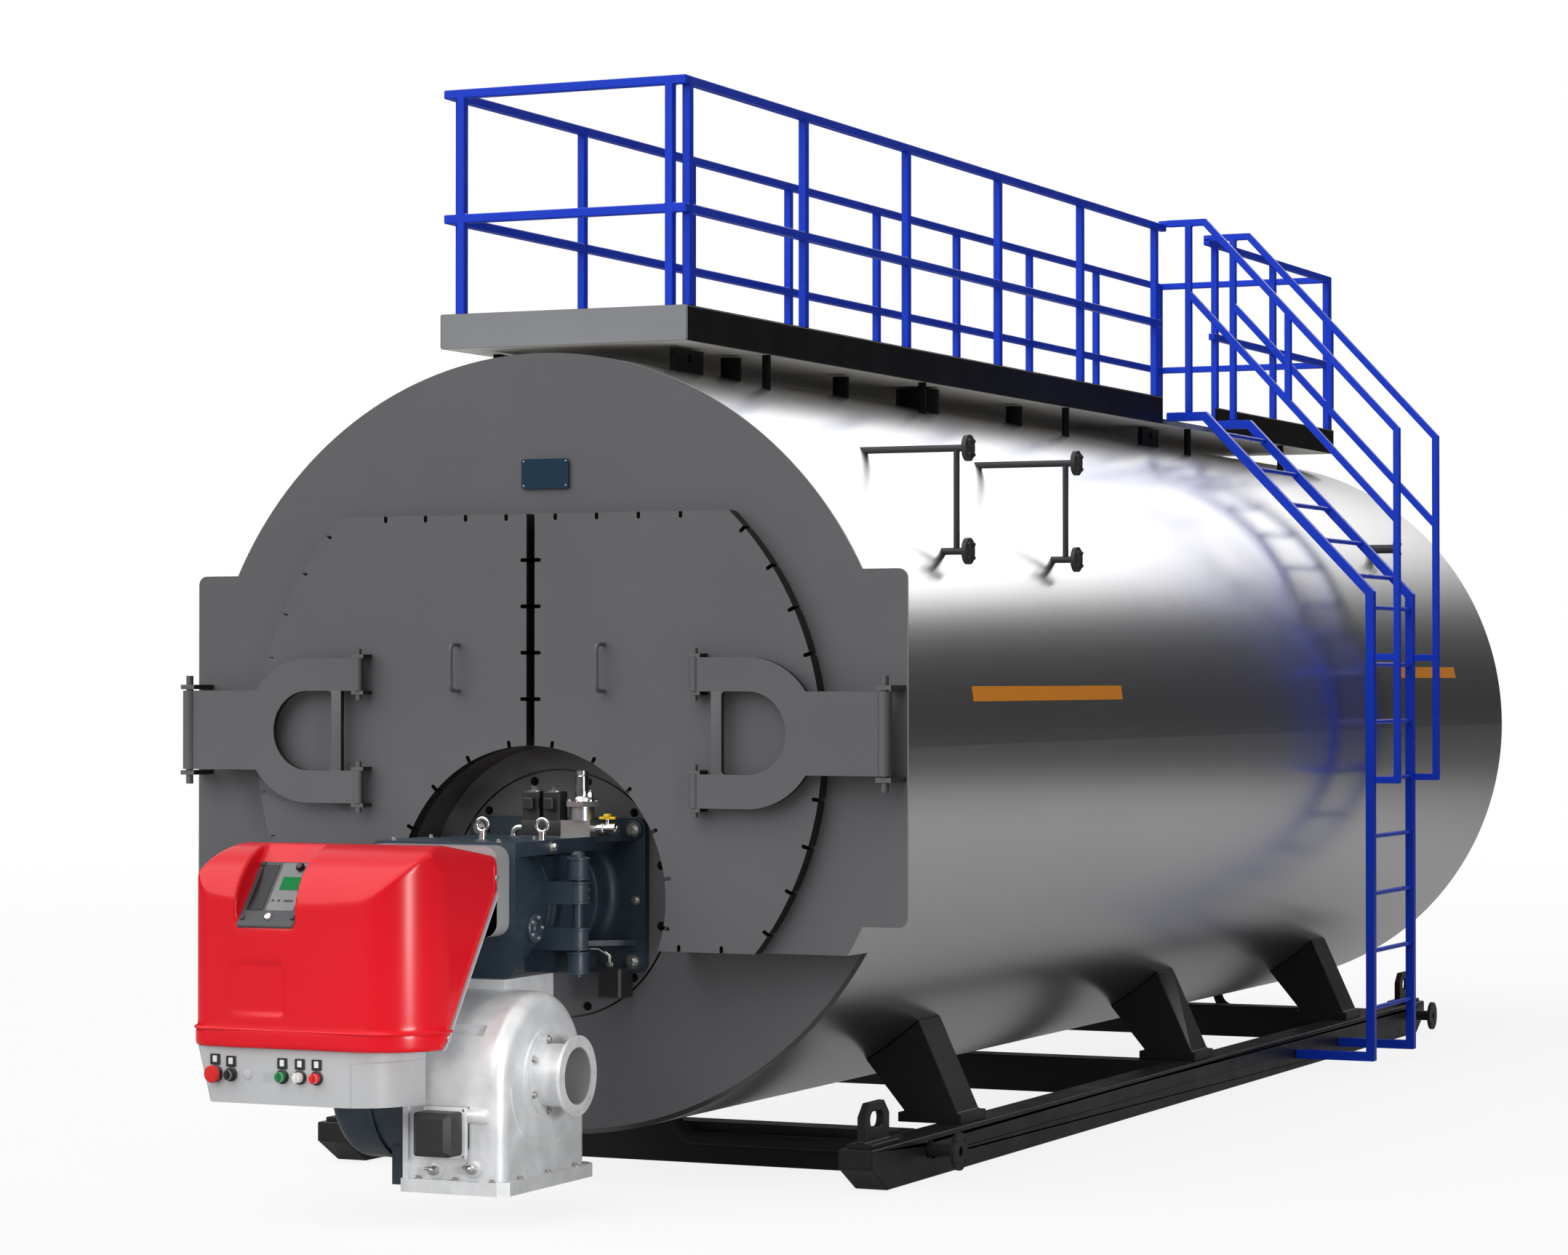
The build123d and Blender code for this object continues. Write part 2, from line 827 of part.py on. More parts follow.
inner = platform_front + toe_thickness
with BuildPart() as toe_boards:
    block((platform_half - toe_thickness, platform_half), (inner, stair_gap_front), (deck_z, toe_top))
    block((platform_half - toe_thickness, platform_half), (stair_gap_rear, platform_rear), (deck_z, toe_top))
    block((-platform_half, toe_thickness - platform_half), (inner, platform_rear), (deck_z, toe_top))
    block(
        (toe_thickness - platform_half, platform_half - toe_thickness),
        (platform_rear - toe_thickness, platform_rear),
        (deck_z, toe_top),
    )
save(toe_boards, "toe_boards")

# Supports: short posts from the shell to the deck on both sides
with BuildPart() as platform_supports:
    support_x = platform_half - support_inset
    foot = shell_height(support_x + support_radius) - support_radius
    support_ys = [platform_front + y for y in support_front_setbacks]
    support_ys += [platform_rear - y for y in support_rear_setbacks]
    for support_y in support_ys:
        for side in (-1, 1):
            with Locations((side * support_x, support_y, (foot + deck_z) / 2)):
                Cylinder(support_radius, deck_z - foot)
    cut_to_shell(platform_front, platform_rear)
save(platform_supports, "platform_supports")


def rail_run(x, y_low, y_high, posts):
    """Railing along the boiler: posts on the deck, a top rail and a middle rail."""
    span = (x - rail_bar / 2, x + rail_bar / 2)
    for post_y in posts:
        block(span, (post_y - rail_bar / 2, post_y + rail_bar / 2), (deck_top, rail_top))
    for top in (rail_top, mid_rail_z):
        block(span, (y_low, y_high), (top - rail_bar, top))


def rail_across(y, x_half, posts):
    """Railing across the platform."""
    span = (y - rail_bar / 2, y + rail_bar / 2)
    for post_x in posts:
        block((post_x - rail_bar / 2, post_x + rail_bar / 2), span, (deck_top, rail_top))
    for top in (rail_top, mid_rail_z):
        block((-x_half, x_half), span, (top - rail_bar, top))


def even_posts(first, last, bays):
    return [first + (last - first) * i / bays for i in range(bays + 1)]


rail_x = platform_half - toe_thickness - rail_bar / 2
rail_front_y = platform_front + toe_thickness + rail_bar / 2
side_start = rail_front_y + rail_bar
rail_rear_y = platform_rear - toe_thickness - rail_bar / 2
side_end = rail_rear_y - rail_bar
front_post_x = platform_half - front_post_inset

with BuildPart() as rail_front:
    rail_across(rail_front_y, rail_x + rail_bar / 2, (-front_post_x, front_post_x))
save(rail_front, "rail_front")

with BuildPart() as rail_right:
    rail_run(
        rail_x,
        side_start - rail_bar / 2,
        stair_gap_front,
        even_posts(side_start, stair_gap_front - rail_setback, right_bays),
    )
save(rail_right, "rail_right")

with BuildPart() as rail_right_rear:
    rail_run(
        rail_x,
        stair_gap_rear,
        side_end + rail_bar / 2,
        even_posts(stair_gap_rear + rail_setback, side_end, rear_bays),
    )
save(rail_right_rear, "rail_right_rear")

with BuildPart() as rail_left:
    rail_run(
        -rail_x,
        side_start - rail_bar / 2,
        side_end + rail_bar / 2,
        even_posts(side_start + rail_setback, side_end, left_bays),
    )
save(rail_left, "rail_left")

with BuildPart() as rail_rear:
    rail_across(rail_rear_y, rail_x + rail_bar / 2, (-rail_x, rail_x))
save(rail_rear, "rail_rear")

# Stair: two stringers, level at the platform, sloping, then upright to feet on the skid
near_y = stair_gap_front + stair_inset
far_y = stair_gap_rear - stair_inset
ladder_x = jacket_radius + ladder_clearance
stringer_elbow_x = platform_half + stringer_landing
stringer_z = deck_z + stringer_lift
stringer_knee_z = axis_z + stringer_knee
stringer_run = [
    (platform_half, stringer_z),
    (stringer_elbow_x, stringer_z),
    (ladder_x, stringer_knee_z),
    (ladder_x, stringer_foot),
    (skid_half_width, stringer_foot),
]
stringer_half = stringer_bar / 2
with BuildPart() as stair_stringers:
    for y in (near_y, far_y):
        flat_bar(stringer_run, stringer_bar, (y - stringer_half, y + stringer_half))
save(stair_stringers, "stair_stringers")

# Round rungs between the stringers
rung_span = far_y - near_y - stringer_bar
with BuildPart() as stair_rungs:
    places = [(ladder_x, stringer_knee_z - rung_first_drop - rung_pitch * i) for i in range(rung_count)]
    for i in range(slope_rung_count):
        share = (i + 0.5) / slope_rung_count
        places.append(
            (
                stringer_elbow_x + (ladder_x - stringer_elbow_x) * share,
                stringer_z + (stringer_knee_z - stringer_z) * share,
            )
        )
    with Locations([(x, (near_y + far_y) / 2, z) for x, z in places]):
        Cylinder(rung_radius, rung_span, rotation=(90, 0, 0))
save(stair_rungs, "stair_rungs")

# Handrails beside the stair: top rail, middle rail, posts and ties to the stringer
handrail_x = ladder_x + handrail_offset
rail_half = handrail_bar / 2
handrail_top = deck_z + handrail_lift
handrail_knee_z = axis_z + handrail_knee
handrail_post_x = platform_half + handrail_post_landing
handrail_mid_post_x = stringer_elbow_x + handrail_mid_post
slope_fall = (handrail_top - handrail_knee_z) / (handrail_x - stringer_elbow_x)


def handrail_z(x):
    """Height of the handrail's sloping stretch at X = x."""
    return handrail_top - (x - stringer_elbow_x) * slope_fall


def handrail(y):
    span = (y - rail_half, y + rail_half)
    flat_bar(
        [
            (platform_half, handrail_top),
            (stringer_elbow_x, handrail_top),
            (handrail_x, handrail_knee_z),
            (handrail_x, axis_z - handrail_foot),
            (ladder_x + stringer_half, axis_z - handrail_foot),
        ],
        handrail_bar,
        span,
    )
    block(
        (handrail_post_x - rail_half, handrail_post_x + rail_half),
        span,
        (stringer_z + stringer_half, handrail_top),
    )
    mid_start = handrail_z(handrail_post_x) - handrail_mid_drop
    mid_end = handrail_z(handrail_x) - handrail_mid_drop
    flat_bar([(handrail_post_x, mid_start), (handrail_x, mid_end)], handrail_bar, span)
    mid_z = handrail_z(handrail_mid_post_x)
    block(
        (handrail_mid_post_x - rail_half, handrail_mid_post_x + rail_half),
        span,
        (mid_z - handrail_mid_drop, mid_z),
    )
    block(
        (ladder_x + stringer_half, handrail_x),
        span,
        (axis_z + tie_height - rail_half, axis_z + tie_height + rail_half),
    )


with BuildPart() as handrail_near:
    handrail(near_y)
save(handrail_near, "handrail_near")

with BuildPart() as handrail_far:
    handrail(far_y)
save(handrail_far, "handrail_far")


# Water-level columns: two branches from the shell to blind flanges, joined by an upright pipe
def branch(y, z, flange_x, pipe_radius, flange_radius, flange_thickness):
    """Pipe from the shell to a flange that faces right."""
    root = shell_reach(z) - 2 * pipe_radius
    with BuildSketch(side_plane(root)) as pipe:
        with Locations((y, z)):
            Circle(pipe_radius)
    extrude(pipe.sketch, amount=flange_x - root)
    with BuildSketch(side_plane(flange_x - flange_thickness)) as flange:
        with Locations((y, z)):
            Circle(flange_radius)
    extrude(flange.sketch, amount=flange_thickness)


gauge_top_z = axis_z + jacket_radius - gauge_top_drop
gauge_low_z = gauge_top_z - gauge_span
with BuildPart() as level_gauges:
    for setback in gauge_positions:
        gauge_y = front_y + setback
        for z in (gauge_top_z, gauge_low_z):
            branch(
                gauge_y,
                z,
                jacket_radius - gauge_flange_inset,
                gauge_pipe_radius,
                gauge_flange_radius,
                gauge_flange_thickness,
            )
        with Locations((jacket_radius - gauge_column_inset, gauge_y, (gauge_top_z + gauge_low_z) / 2)):
            Cylinder(gauge_column_radius, gauge_span)
    cut_to_shell(front_y, rear_y)
save(level_gauges, "level_gauges")

nozzle_z = axis_z + jacket_radius - nozzle_top_drop
with BuildPart() as side_nozzle:
    branch(
        rear_y - nozzle_rear_setback,
        nozzle_z,
        shell_reach(nozzle_z) + nozzle_stub,
        nozzle_radius,
        gauge_flange_radius,
        gauge_flange_thickness,
    )
    cut_to_shell(front_y, rear_y)
save(side_nozzle, "side_nozzle")

# Blowdown pipes: down from the shell, a bend, out through the right beam to a drilled flange
blowdown_flange_x = skid_half_width + blowdown_stub
with BuildPart() as blowdown_pipes:
    for pipe_y in blowdown_ys:
        pipe_top = axis_z - sqrt(jacket_radius**2 - blowdown_drop_x**2) + blowdown_radius
        with BuildLine() as pipe_path:
            FilletPolyline(
                (blowdown_drop_x, pipe_y, pipe_top),
                (blowdown_drop_x, pipe_y, blowdown_height),
                (blowdown_flange_x, pipe_y, blowdown_height),
                radius=blowdown_bend,
            )
        with BuildSketch(Plane(pipe_path.line @ 0, z_dir=pipe_path.line % 0)):
            Circle(blowdown_radius)
        sweep(path=pipe_path.line)
        with BuildSketch(side_plane(blowdown_flange_x - blowdown_flange_thickness)):
            with Locations((pipe_y, blowdown_height)):
                Circle(blowdown_flange_radius)
                with PolarLocations(blowdown_bolt_circle / 2, blowdown_bolt_count, start_angle=45):
                    Circle(blowdown_bolt_hole, mode=Mode.SUBTRACT)
        extrude(amount=blowdown_flange_thickness)
        with BuildSketch(side_plane(blowdown_flange_x)):
            with Locations((pipe_y, blowdown_height)):
                Circle(blowdown_bore)
        extrude(amount=-blowdown_bore_depth, mode=Mode.SUBTRACT)
    cut_to_shell(front_y, rear_y)
save(blowdown_pipes, "blowdown_pipes")

# Capped nozzles on the shell under the deck
with BuildPart() as top_nozzles:
    for setback, radius in top_nozzles_at:
        top = deck_z - top_nozzle_gap
        foot = shell_height(top_nozzle_x + radius) - radius / 2
        with Locations((top_nozzle_x, front_y + setback, (foot + top) / 2)):
            Cylinder(radius, top - foot)
    cut_to_shell(front_y, rear_y)
save(top_nozzles, "top_nozzles")

# Lifting lugs on the shell under the deck
with BuildPart() as shell_lugs:
    for lug_y in (front_y + shell_lug_setback, rear_y - shell_lug_rear_setback):
        top = deck_z - top_nozzle_gap
        foot = shell_height(shell_lug_x + shell_lug_thickness) - shell_lug_thickness
        with BuildSketch(side_plane(shell_lug_x - shell_lug_thickness / 2)):
            with Locations((lug_y, (foot + top) / 2)):
                Rectangle(shell_lug_length, top - foot)
            with Locations((lug_y, top - shell_lug_eye_drop)):
                Circle(shell_lug_eye, mode=Mode.SUBTRACT)
        extrude(amount=shell_lug_thickness)
    cut_to_shell(front_y, rear_y)
    mirror(about=Plane.YZ)
save(shell_lugs, "shell_lugs")

# Burner mount: a square flange on the burner plate, and a flared, bored neck with a flat deck up to the split
flange_front = end_y - flange_thickness
flange_low = burner_z - flange_half_height
neck_front = front_y - split_y
burner_axis = Axis((0, 0, burner_z), (0, 1, 0))
deck_high = burner_z + neck_radius
deck_low = deck_high - neck_deck_thickness
hinge_axis_y = front_y - hinge_y
hinge_top_z = burner_z + burner_hinge_top
hinge_bottom_z = burner_z - burner_hinge_bottom
fixed_knuckles = (hinge_top_z - burner_knuckle_height / 2, hinge_bottom_z + burner_knuckle_height / 2)
knuckle_step = burner_knuckle_height + split_gap
moving_knuckles = (fixed_knuckles[0] - knuckle_step, fixed_knuckles[1] + knuckle_step)


def hinge_arm(z, y_span):
    """Arm from inside the casting to the hinge column, with its knuckle, in the part being built."""
    block((hinge_arm_root, hinge_x), y_span, (z - burner_knuckle_height / 2, z + burner_knuckle_height / 2))
    with Locations((hinge_x, hinge_axis_y, z)):
        Cylinder(burner_knuckle_radius, burner_knuckle_height)


with BuildPart() as burner_flange:
    with BuildSketch(front_plane(end_y)):
        with Locations((0, burner_z)):
            RectangleRounded(2 * flange_half_width, 2 * flange_half_height, flange_corner)
    extrude(amount=flange_thickness)
    with BuildSketch(Plane.YZ):
        with BuildLine():
            flare_start = (flange_front - neck_flare, burner_z + neck_radius)
            flare_end = (flange_front, burner_z + neck_radius + neck_flare)
            Polyline((flange_front, burner_z), (neck_front, burner_z), (neck_front, deck_high), flare_start)
            TangentArc(flare_start, flare_end, tangent=(1, 0))
            Line(flare_end, (flange_front, burner_z))
        make_face()
    revolve(axis=burner_axis)
    block((-neck_deck_half_width, neck_deck_half_width), (neck_front, flange_front), (deck_low, deck_high))
    # Gussets from the deck and from the underside out to the flange's corners
    for side in (-1, 1):
        gusset_places = (
            (neck_deck_half_width, deck_high - gusset_thickness),
            (hinge_arm_root, burner_z - gusset_drop),
        )
        for root, z in gusset_places:
            with BuildSketch(Plane.XY.offset(z)):
                with BuildLine():
                    Polyline(
                        (side * root, flange_front),
                        (side * (flange_half_width - flange_corner), flange_front),
                        (side * root, flange_front - gusset_length),
                        close=True,
                    )
                make_face()
            extrude(amount=gusset_thickness)
    for z in fixed_knuckles:
        hinge_arm(z, (neck_front, neck_front + hinge_arm_width))
    with BuildSketch(front_plane(flange_front)):
        with Locations((0, burner_z)):
            Circle(neck_radius - neck_wall)
    extrude(amount=flange_front - neck_front, mode=Mode.SUBTRACT)
    with BuildSketch(front_plane(end_y)):
        with Locations((0, burner_z)):
            Circle(blast_tube_radius + seat_gap)
    extrude(amount=flange_thickness, mode=Mode.SUBTRACT)
    with Locations((hinge_x, hinge_axis_y, (hinge_top_z + hinge_bottom_z) / 2)):
        Cylinder(burner_pin_radius, hinge_top_z - hinge_bottom_z + burner_pin_radius)
save(burner_flange, "burner_flange")

# Blast tube from inside the neck into the furnace
with BuildPart() as blast_tube:
    with BuildSketch(front_plane(end_y + blast_tube_reach)):
        with Locations((0, burner_z)):
            Circle(blast_tube_radius)
            Circle(blast_tube_radius - blast_tube_wall, mode=Mode.SUBTRACT)
    extrude(amount=end_y + blast_tube_reach - neck_front - 2 * split_gap)
save(blast_tube, "blast_tube")

# Pressure switch hung on the lower right corner of the flange
with BuildPart() as pressure_switch:
    block(
        (switch_x - switch_width / 2, switch_x + switch_width / 2),
        (flange_front - switch_depth, flange_front),
        (flange_low + switch_lap - switch_height, flange_low + switch_lap),
    )
    chamfer(faces().sort_by(Axis.Y)[0].edges(), length=switch_edge)
save(pressure_switch, "pressure_switch")

# Pilot gas train on the deck: block, two solenoids, hexagonal regulator, elbow and a small valve pipe
train_centre_y = front_y - train_y
block_top = deck_high + train_block_height
pipe_z = deck_high + train_block_height / 2
with BuildPart() as pilot_train:
    block(
        (-train_left, train_right),
        (train_centre_y - train_half_width, train_centre_y + train_half_width),
        (deck_high, block_top),
    )
    for x in solenoid_places:
        with Locations((x, train_centre_y, block_top + solenoid_height / 2)):
            Cylinder(solenoid_radius, solenoid_height)
        with Locations((x, train_centre_y, block_top + solenoid_height + solenoid_nut_height / 2)):
            Cylinder(solenoid_nut_radius, solenoid_nut_height)
    with Locations((regulator_x, train_centre_y, block_top + regulator_body_height / 2)):
        Cylinder(regulator_radius, regulator_body_height)
    hex_top = block_top + regulator_body_height + regulator_hex_height
    with BuildSketch(Plane.XY.offset(block_top + regulator_body_height)):
        with Locations((regulator_x, train_centre_y)):
            RegularPolygon(regulator_hex, 6)
    extrude(amount=regulator_hex_height)
    with Locations((regulator_x, train_centre_y, hex_top + regulator_cap_height / 2)):
        Cylinder(regulator_cap_radius, regulator_cap_height)
    with BuildLine() as elbow_path:
        FilletPolyline(
            (-train_left, train_centre_y, pipe_z),
            (-train_left - elbow_reach, train_centre_y, pipe_z),
            (-train_left - elbow_reach, train_centre_y, deck_high),
            radius=elbow_bend,
        )
    with BuildSketch(Plane(elbow_path.line @ 0, z_dir=elbow_path.line % 0)):
        Circle(elbow_radius)
    sweep(path=elbow_path.line)
    with BuildSketch(side_plane(train_right)):
        with Locations((train_centre_y, pipe_z)):
            Circle(valve_radius)
    extrude(amount=valve_reach)
save(pilot_train, "pilot_train")

# Burner body: a casting that widens from the round split face to the back box, with a deck and hinge arms
body_back = neck_front - split_gap
body_front = body_back - body_length
body_centre_x = (body_right - body_left) / 2
body_centre_z = burner_z + (neck_radius - body_bottom) / 2
with BuildPart() as burner_body:
    with BuildSketch(front_plane(body_back)):
        with Locations((0, burner_z)):
            Circle(neck_radius)
    with BuildSketch(front_plane(body_front)):
        with Locations((body_centre_x, body_centre_z)):
            RectangleRounded(body_left + body_right, neck_radius + body_bottom, body_corner)
    loft()
    block((body_deck_inset - body_left, body_right), (body_front, body_back), (deck_low, deck_high))
    for z in moving_knuckles:
        hinge_arm(z, (hinge_axis_y - hinge_arm_width, hinge_axis_y))
        with Locations((hinge_x, hinge_axis_y, z)):
            Cylinder(burner_pin_radius + pin_clearance, burner_knuckle_height, mode=Mode.SUBTRACT)
save(burner_body, "burner_body")

# Eye bolts on the body's deck
with BuildPart() as eye_bolts:
    for x, setback in eye_bolt_places:
        with Locations((x, body_back - setback, deck_high + eye_bolt_shank / 2)):
            Cylinder(eye_bolt_collar, eye_bolt_shank)
        with Locations((x, body_back - setback, deck_high + eye_bolt_shank + eye_bolt_ring)):
            Torus(eye_bolt_ring, eye_bolt_rod, rotation=(90, 0, 0))
save(eye_bolts, "eye_bolts")

# Back box behind the cover, and the button tray below it with its row of buttons
cover_back = front_y - cover_rear
cover_nose = front_y - cover_front
cover_low = burner_z - cover_bottom
cover_top_z = burner_z + cover_top
fan_y = front_y - fan_centre_y
fan_front = fan_y - fan_radius
tray_front = cover_nose + tray_inset
tray_rear = fan_front - fan_flange - tray_clearance
tray_low = cover_low - tray_height
tray_left = tray_inset - cover_left
tray_right = cover_right - tray_right_inset
with BuildPart() as control_panel:
    with BuildSketch(front_plane(body_front)):
        with Locations((body_centre_x, deck_high - back_box_drop - back_box_height / 2)):
            RectangleRounded(body_left + body_right - 2 * back_box_inset, back_box_height, body_corner)
    extrude(amount=body_front - cover_back)
    with BuildSketch(front_plane(tray_rear)):
        with BuildLine():
            Polyline(
                (tray_left, cover_low),
                (tray_right, cover_low),
                (tray_right, tray_low),
                (tray_left + tray_taper, tray_low),
                close=True,
            )
        make_face()
    extrude(amount=tray_rear - tray_front)
    tray_sides = faces().sort_by(Axis.Y)[0].edges().sort_by(Axis.X)
    fillet(tray_sides[-1], radius=tray_corner)
    fillet(faces().sort_by(Axis.Y)[0].edges().sort_by(Axis.X)[0], radius=tray_left_corner)
    with BuildSketch(front_plane(tray_front)):
        for x, radius in button_row:
            with Locations((x, tray_low + button_lift)):
                Circle(radius)
    extrude(amount=button_reach)
save(control_panel, "control_panel")

# Moulded cover: bowed in plan, crowned, with a slanting rear edge, a lip and a slanting flat for its window
slope_low = cover_back - cover_slope_length
slope_high_z = burner_z + cover_slope_top
cover_centre_x = (cover_right - cover_left) / 2
window_low = cover_top_z - window_drop


def cover_plan(inset):
    """Plan of the cover at a given inset from the edge of its lip: a bowed front with rounded corners."""
    nose = cover_nose + inset
    left = inset - cover_left
    right = cover_right - inset
    with BuildSketch(Plane.XY.offset(cover_low)) as plan:
        with BuildLine():
            ThreePointArc((left, nose + cover_bow), (cover_centre_x, nose), (right, nose + cover_bow))
            Polyline(
                (right, nose + cover_bow),
                (right, cover_back),
                (left, cover_back),
                (left, nose + cover_bow),
            )
        make_face()
        fillet(plan.vertices().group_by(Axis.X)[-1].sort_by(Axis.Y)[0], radius=cover_corner)
        fillet(plan.vertices().group_by(Axis.X)[0].sort_by(Axis.Y)[0], radius=cover_left_corner)
    return plan.sketch


with BuildPart() as burner_cover:
    with BuildSketch(side_plane(cover_right)):
        with BuildLine():
            Polyline(
                (cover_nose, cover_low),
                (cover_nose, cover_top_z),
                (cover_back, cover_top_z - cover_fall),
                (cover_back, slope_high_z),
                (slope_low, cover_low),
                close=True,
            )
        make_face()
        fillet(vertices().sort_by(Axis.Y)[-1], radius=cover_crown)
    extrude(amount=-cover_left - cover_right)
    with BuildSketch(front_plane(cover_back)):
        with Locations((cover_centre_x, (cover_low + cover_top_z) / 2)):
            Rectangle(cover_left + cover_right - 2 * cover_lip, cover_top_z - cover_low)
        fillet(vertices().group_by(Axis.X)[0].sort_by(Axis.Y)[-1], radius=cover_left_shoulder)
        fillet(vertices().group_by(Axis.X)[-1].sort_by(Axis.Y)[-1], radius=cover_right_shoulder)
    extrude(amount=cover_front - cover_rear, mode=Mode.INTERSECT)
    extrude(cover_plan(cover_lip), amount=cover_top_z - cover_low, mode=Mode.INTERSECT)
    # Lip round the lower edge, trimmed to the slanting rear edge
    extrude(cover_plan(0), amount=cover_lip_height)
    with BuildSketch(side_plane(cover_right)):
        with BuildLine():
            Polyline((slope_low, cover_low), (cover_back, slope_high_z), (cover_back, cover_low), close=True)
        make_face()
    extrude(amount=-cover_left - cover_right, mode=Mode.SUBTRACT)
    # Slanting flat across the crown for the window, and a shallow recess below it
    with BuildSketch(side_plane(-window_left)):
        with BuildLine():
            Polyline(
                (cover_nose, window_low),
                (cover_nose + window_reach, window_low + window_height),
                (cover_nose + window_reach, cover_top_z),
                (cover_nose, cover_top_z),
                close=True,
            )
        make_face()
    extrude(amount=window_left - window_right, mode=Mode.SUBTRACT)
    with BuildSketch(front_plane(cover_nose + recess_setback)):
        with Locations((-(recess_left + recess_right) / 2, cover_low + recess_low + recess_height / 2)):
            RectangleRounded(recess_left - recess_right, recess_height, recess_corner)
    extrude(amount=recess_setback, mode=Mode.SUBTRACT)
save(burner_cover, "burner_cover")

# Fan housing: an arched casting with a rim flange, a groove, a base flange and the inlet on its right
fan_z = burner_z - fan_drop
fan_base_z = burner_z - fan_base_drop
inlet_z = fan_z + intake_lift
with BuildPart() as fan_housing:
    with BuildSketch(side_plane(fan_left)):
        with Locations((fan_y, fan_z)):
            Circle(fan_radius)
        with Locations((fan_y, (fan_z + fan_base_z) / 2)):
            Rectangle(2 * fan_radius, fan_z - fan_base_z)
    extrude(amount=fan_right - fan_left)
    fillet(faces().sort_by(Axis.X)[-1].edges().sort_by(Axis.Z)[1:], radius=fan_corner)
    groove_y = fan_y - fan_radius * cos(radians(fan_groove_angle))
    groove_z = fan_z + fan_radius * sin(radians(fan_groove_angle))
    with BuildSketch(side_plane(fan_left)):
        with Locations((groove_y, groove_z)):
            Circle(fan_groove_radius)
    extrude(amount=fan_right - fan_left - fan_groove_end, mode=Mode.SUBTRACT)
    with BuildSketch(side_plane(fan_left)):
        with Locations((fan_y, fan_z)):
            Circle(fan_radius + fan_flange)
        with Locations((fan_y, (fan_z + fan_base_z) / 2)):
            Rectangle(2 * (fan_radius + fan_flange), fan_z - fan_base_z)
    extrude(amount=fan_flange_thickness)
    with BuildSketch(Plane.XY.offset(fan_base_z)):
        with Locations(((fan_left + fan_right + fan_base_flange) / 2, fan_y)):
            Rectangle(fan_right + fan_base_flange - fan_left, 2 * (fan_radius + fan_base_flange))
        chamfer(vertices().group_by(Axis.X)[-1], length=fan_base_corner)
    extrude(amount=fan_base_height)
    block((fan_left, body_right - neck_wall), (fan_y, body_back - split_gap), (fan_z, burner_z - body_bottom))
    with BuildSketch(side_plane(fan_right)):
        with Locations((fan_y, inlet_z)):
            Circle(intake_radius)
    extrude(amount=-intake_reach, mode=Mode.SUBTRACT)
save(fan_housing, "fan_housing")

# Air intake: a mounting ring, a spigot and a drilled flange
with BuildPart() as air_intake:
    with BuildSketch(side_plane(fan_right)):
        with Locations((fan_y, inlet_z)):
            Circle(intake_flange_radius)
            Circle(intake_radius, mode=Mode.SUBTRACT)
    extrude(amount=intake_ring_thickness)
    with BuildSketch(side_plane(fan_right)):
        with Locations((fan_y, inlet_z)):
            Circle(intake_radius + intake_wall)
            Circle(intake_radius, mode=Mode.SUBTRACT)
    extrude(amount=intake_reach)
    with BuildSketch(side_plane(fan_right + intake_reach - intake_flange_thickness)):
        with Locations((fan_y, inlet_z)):
            Circle(intake_flange_radius)
            Circle(intake_radius, mode=Mode.SUBTRACT)
            with PolarLocations(intake_bolt_circle, intake_bolt_count):
                Circle(intake_bolt_hole, mode=Mode.SUBTRACT)
    extrude(amount=intake_flange_thickness)
save(air_intake, "air_intake")

# Fan motor casing on the left of the fan housing, with a rib and a foot
with BuildPart() as fan_scroll:
    with BuildSketch(side_plane(fan_left)):
        with Locations((fan_y, fan_z)):
            Circle(scroll_radius)
    extrude(amount=-scroll_length)
    fillet(edges().group_by(Axis.X)[0], radius=fan_corner)
    with BuildSketch(side_plane(fan_left - scroll_rib_offset)):
        with Locations((fan_y, fan_z)):
            Circle(scroll_radius + scroll_rib)
    extrude(amount=-scroll_rib_width)
    block(
        (fan_left - scroll_foot_length, fan_left),
        (fan_y - scroll_foot_half, fan_y + scroll_foot_half),
        (fan_base_z, fan_z),
    )
save(fan_scroll, "fan_scroll")

# Damper servo on the front of the fan housing: a square collar and a box with a bevelled front
servo_right = fan_right - servo_setback
servo_top = tray_low - tray_clearance
with BuildPart() as servo:
    block(
        (servo_right - servo_width, servo_right),
        (fan_front - servo_collar, fan_front),
        (servo_top - servo_height, servo_top),
    )
    block(
        (servo_right - servo_width + servo_inset, servo_right - servo_inset),
        (fan_front - servo_depth, fan_front - servo_collar),
        (servo_top - servo_height + servo_inset, servo_top - servo_inset),
    )
    chamfer(faces().sort_by(Axis.Y)[0].edges(), length=servo_bevel)
save(servo, "servo")
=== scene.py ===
"""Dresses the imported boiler: finishes, fasteners, stripes, tube ends and the fittings of its burner."""

import json
from math import cos, hypot, pi, radians, sin, sqrt, tau

import bmesh
import bpy
from mathutils import Matrix, Vector


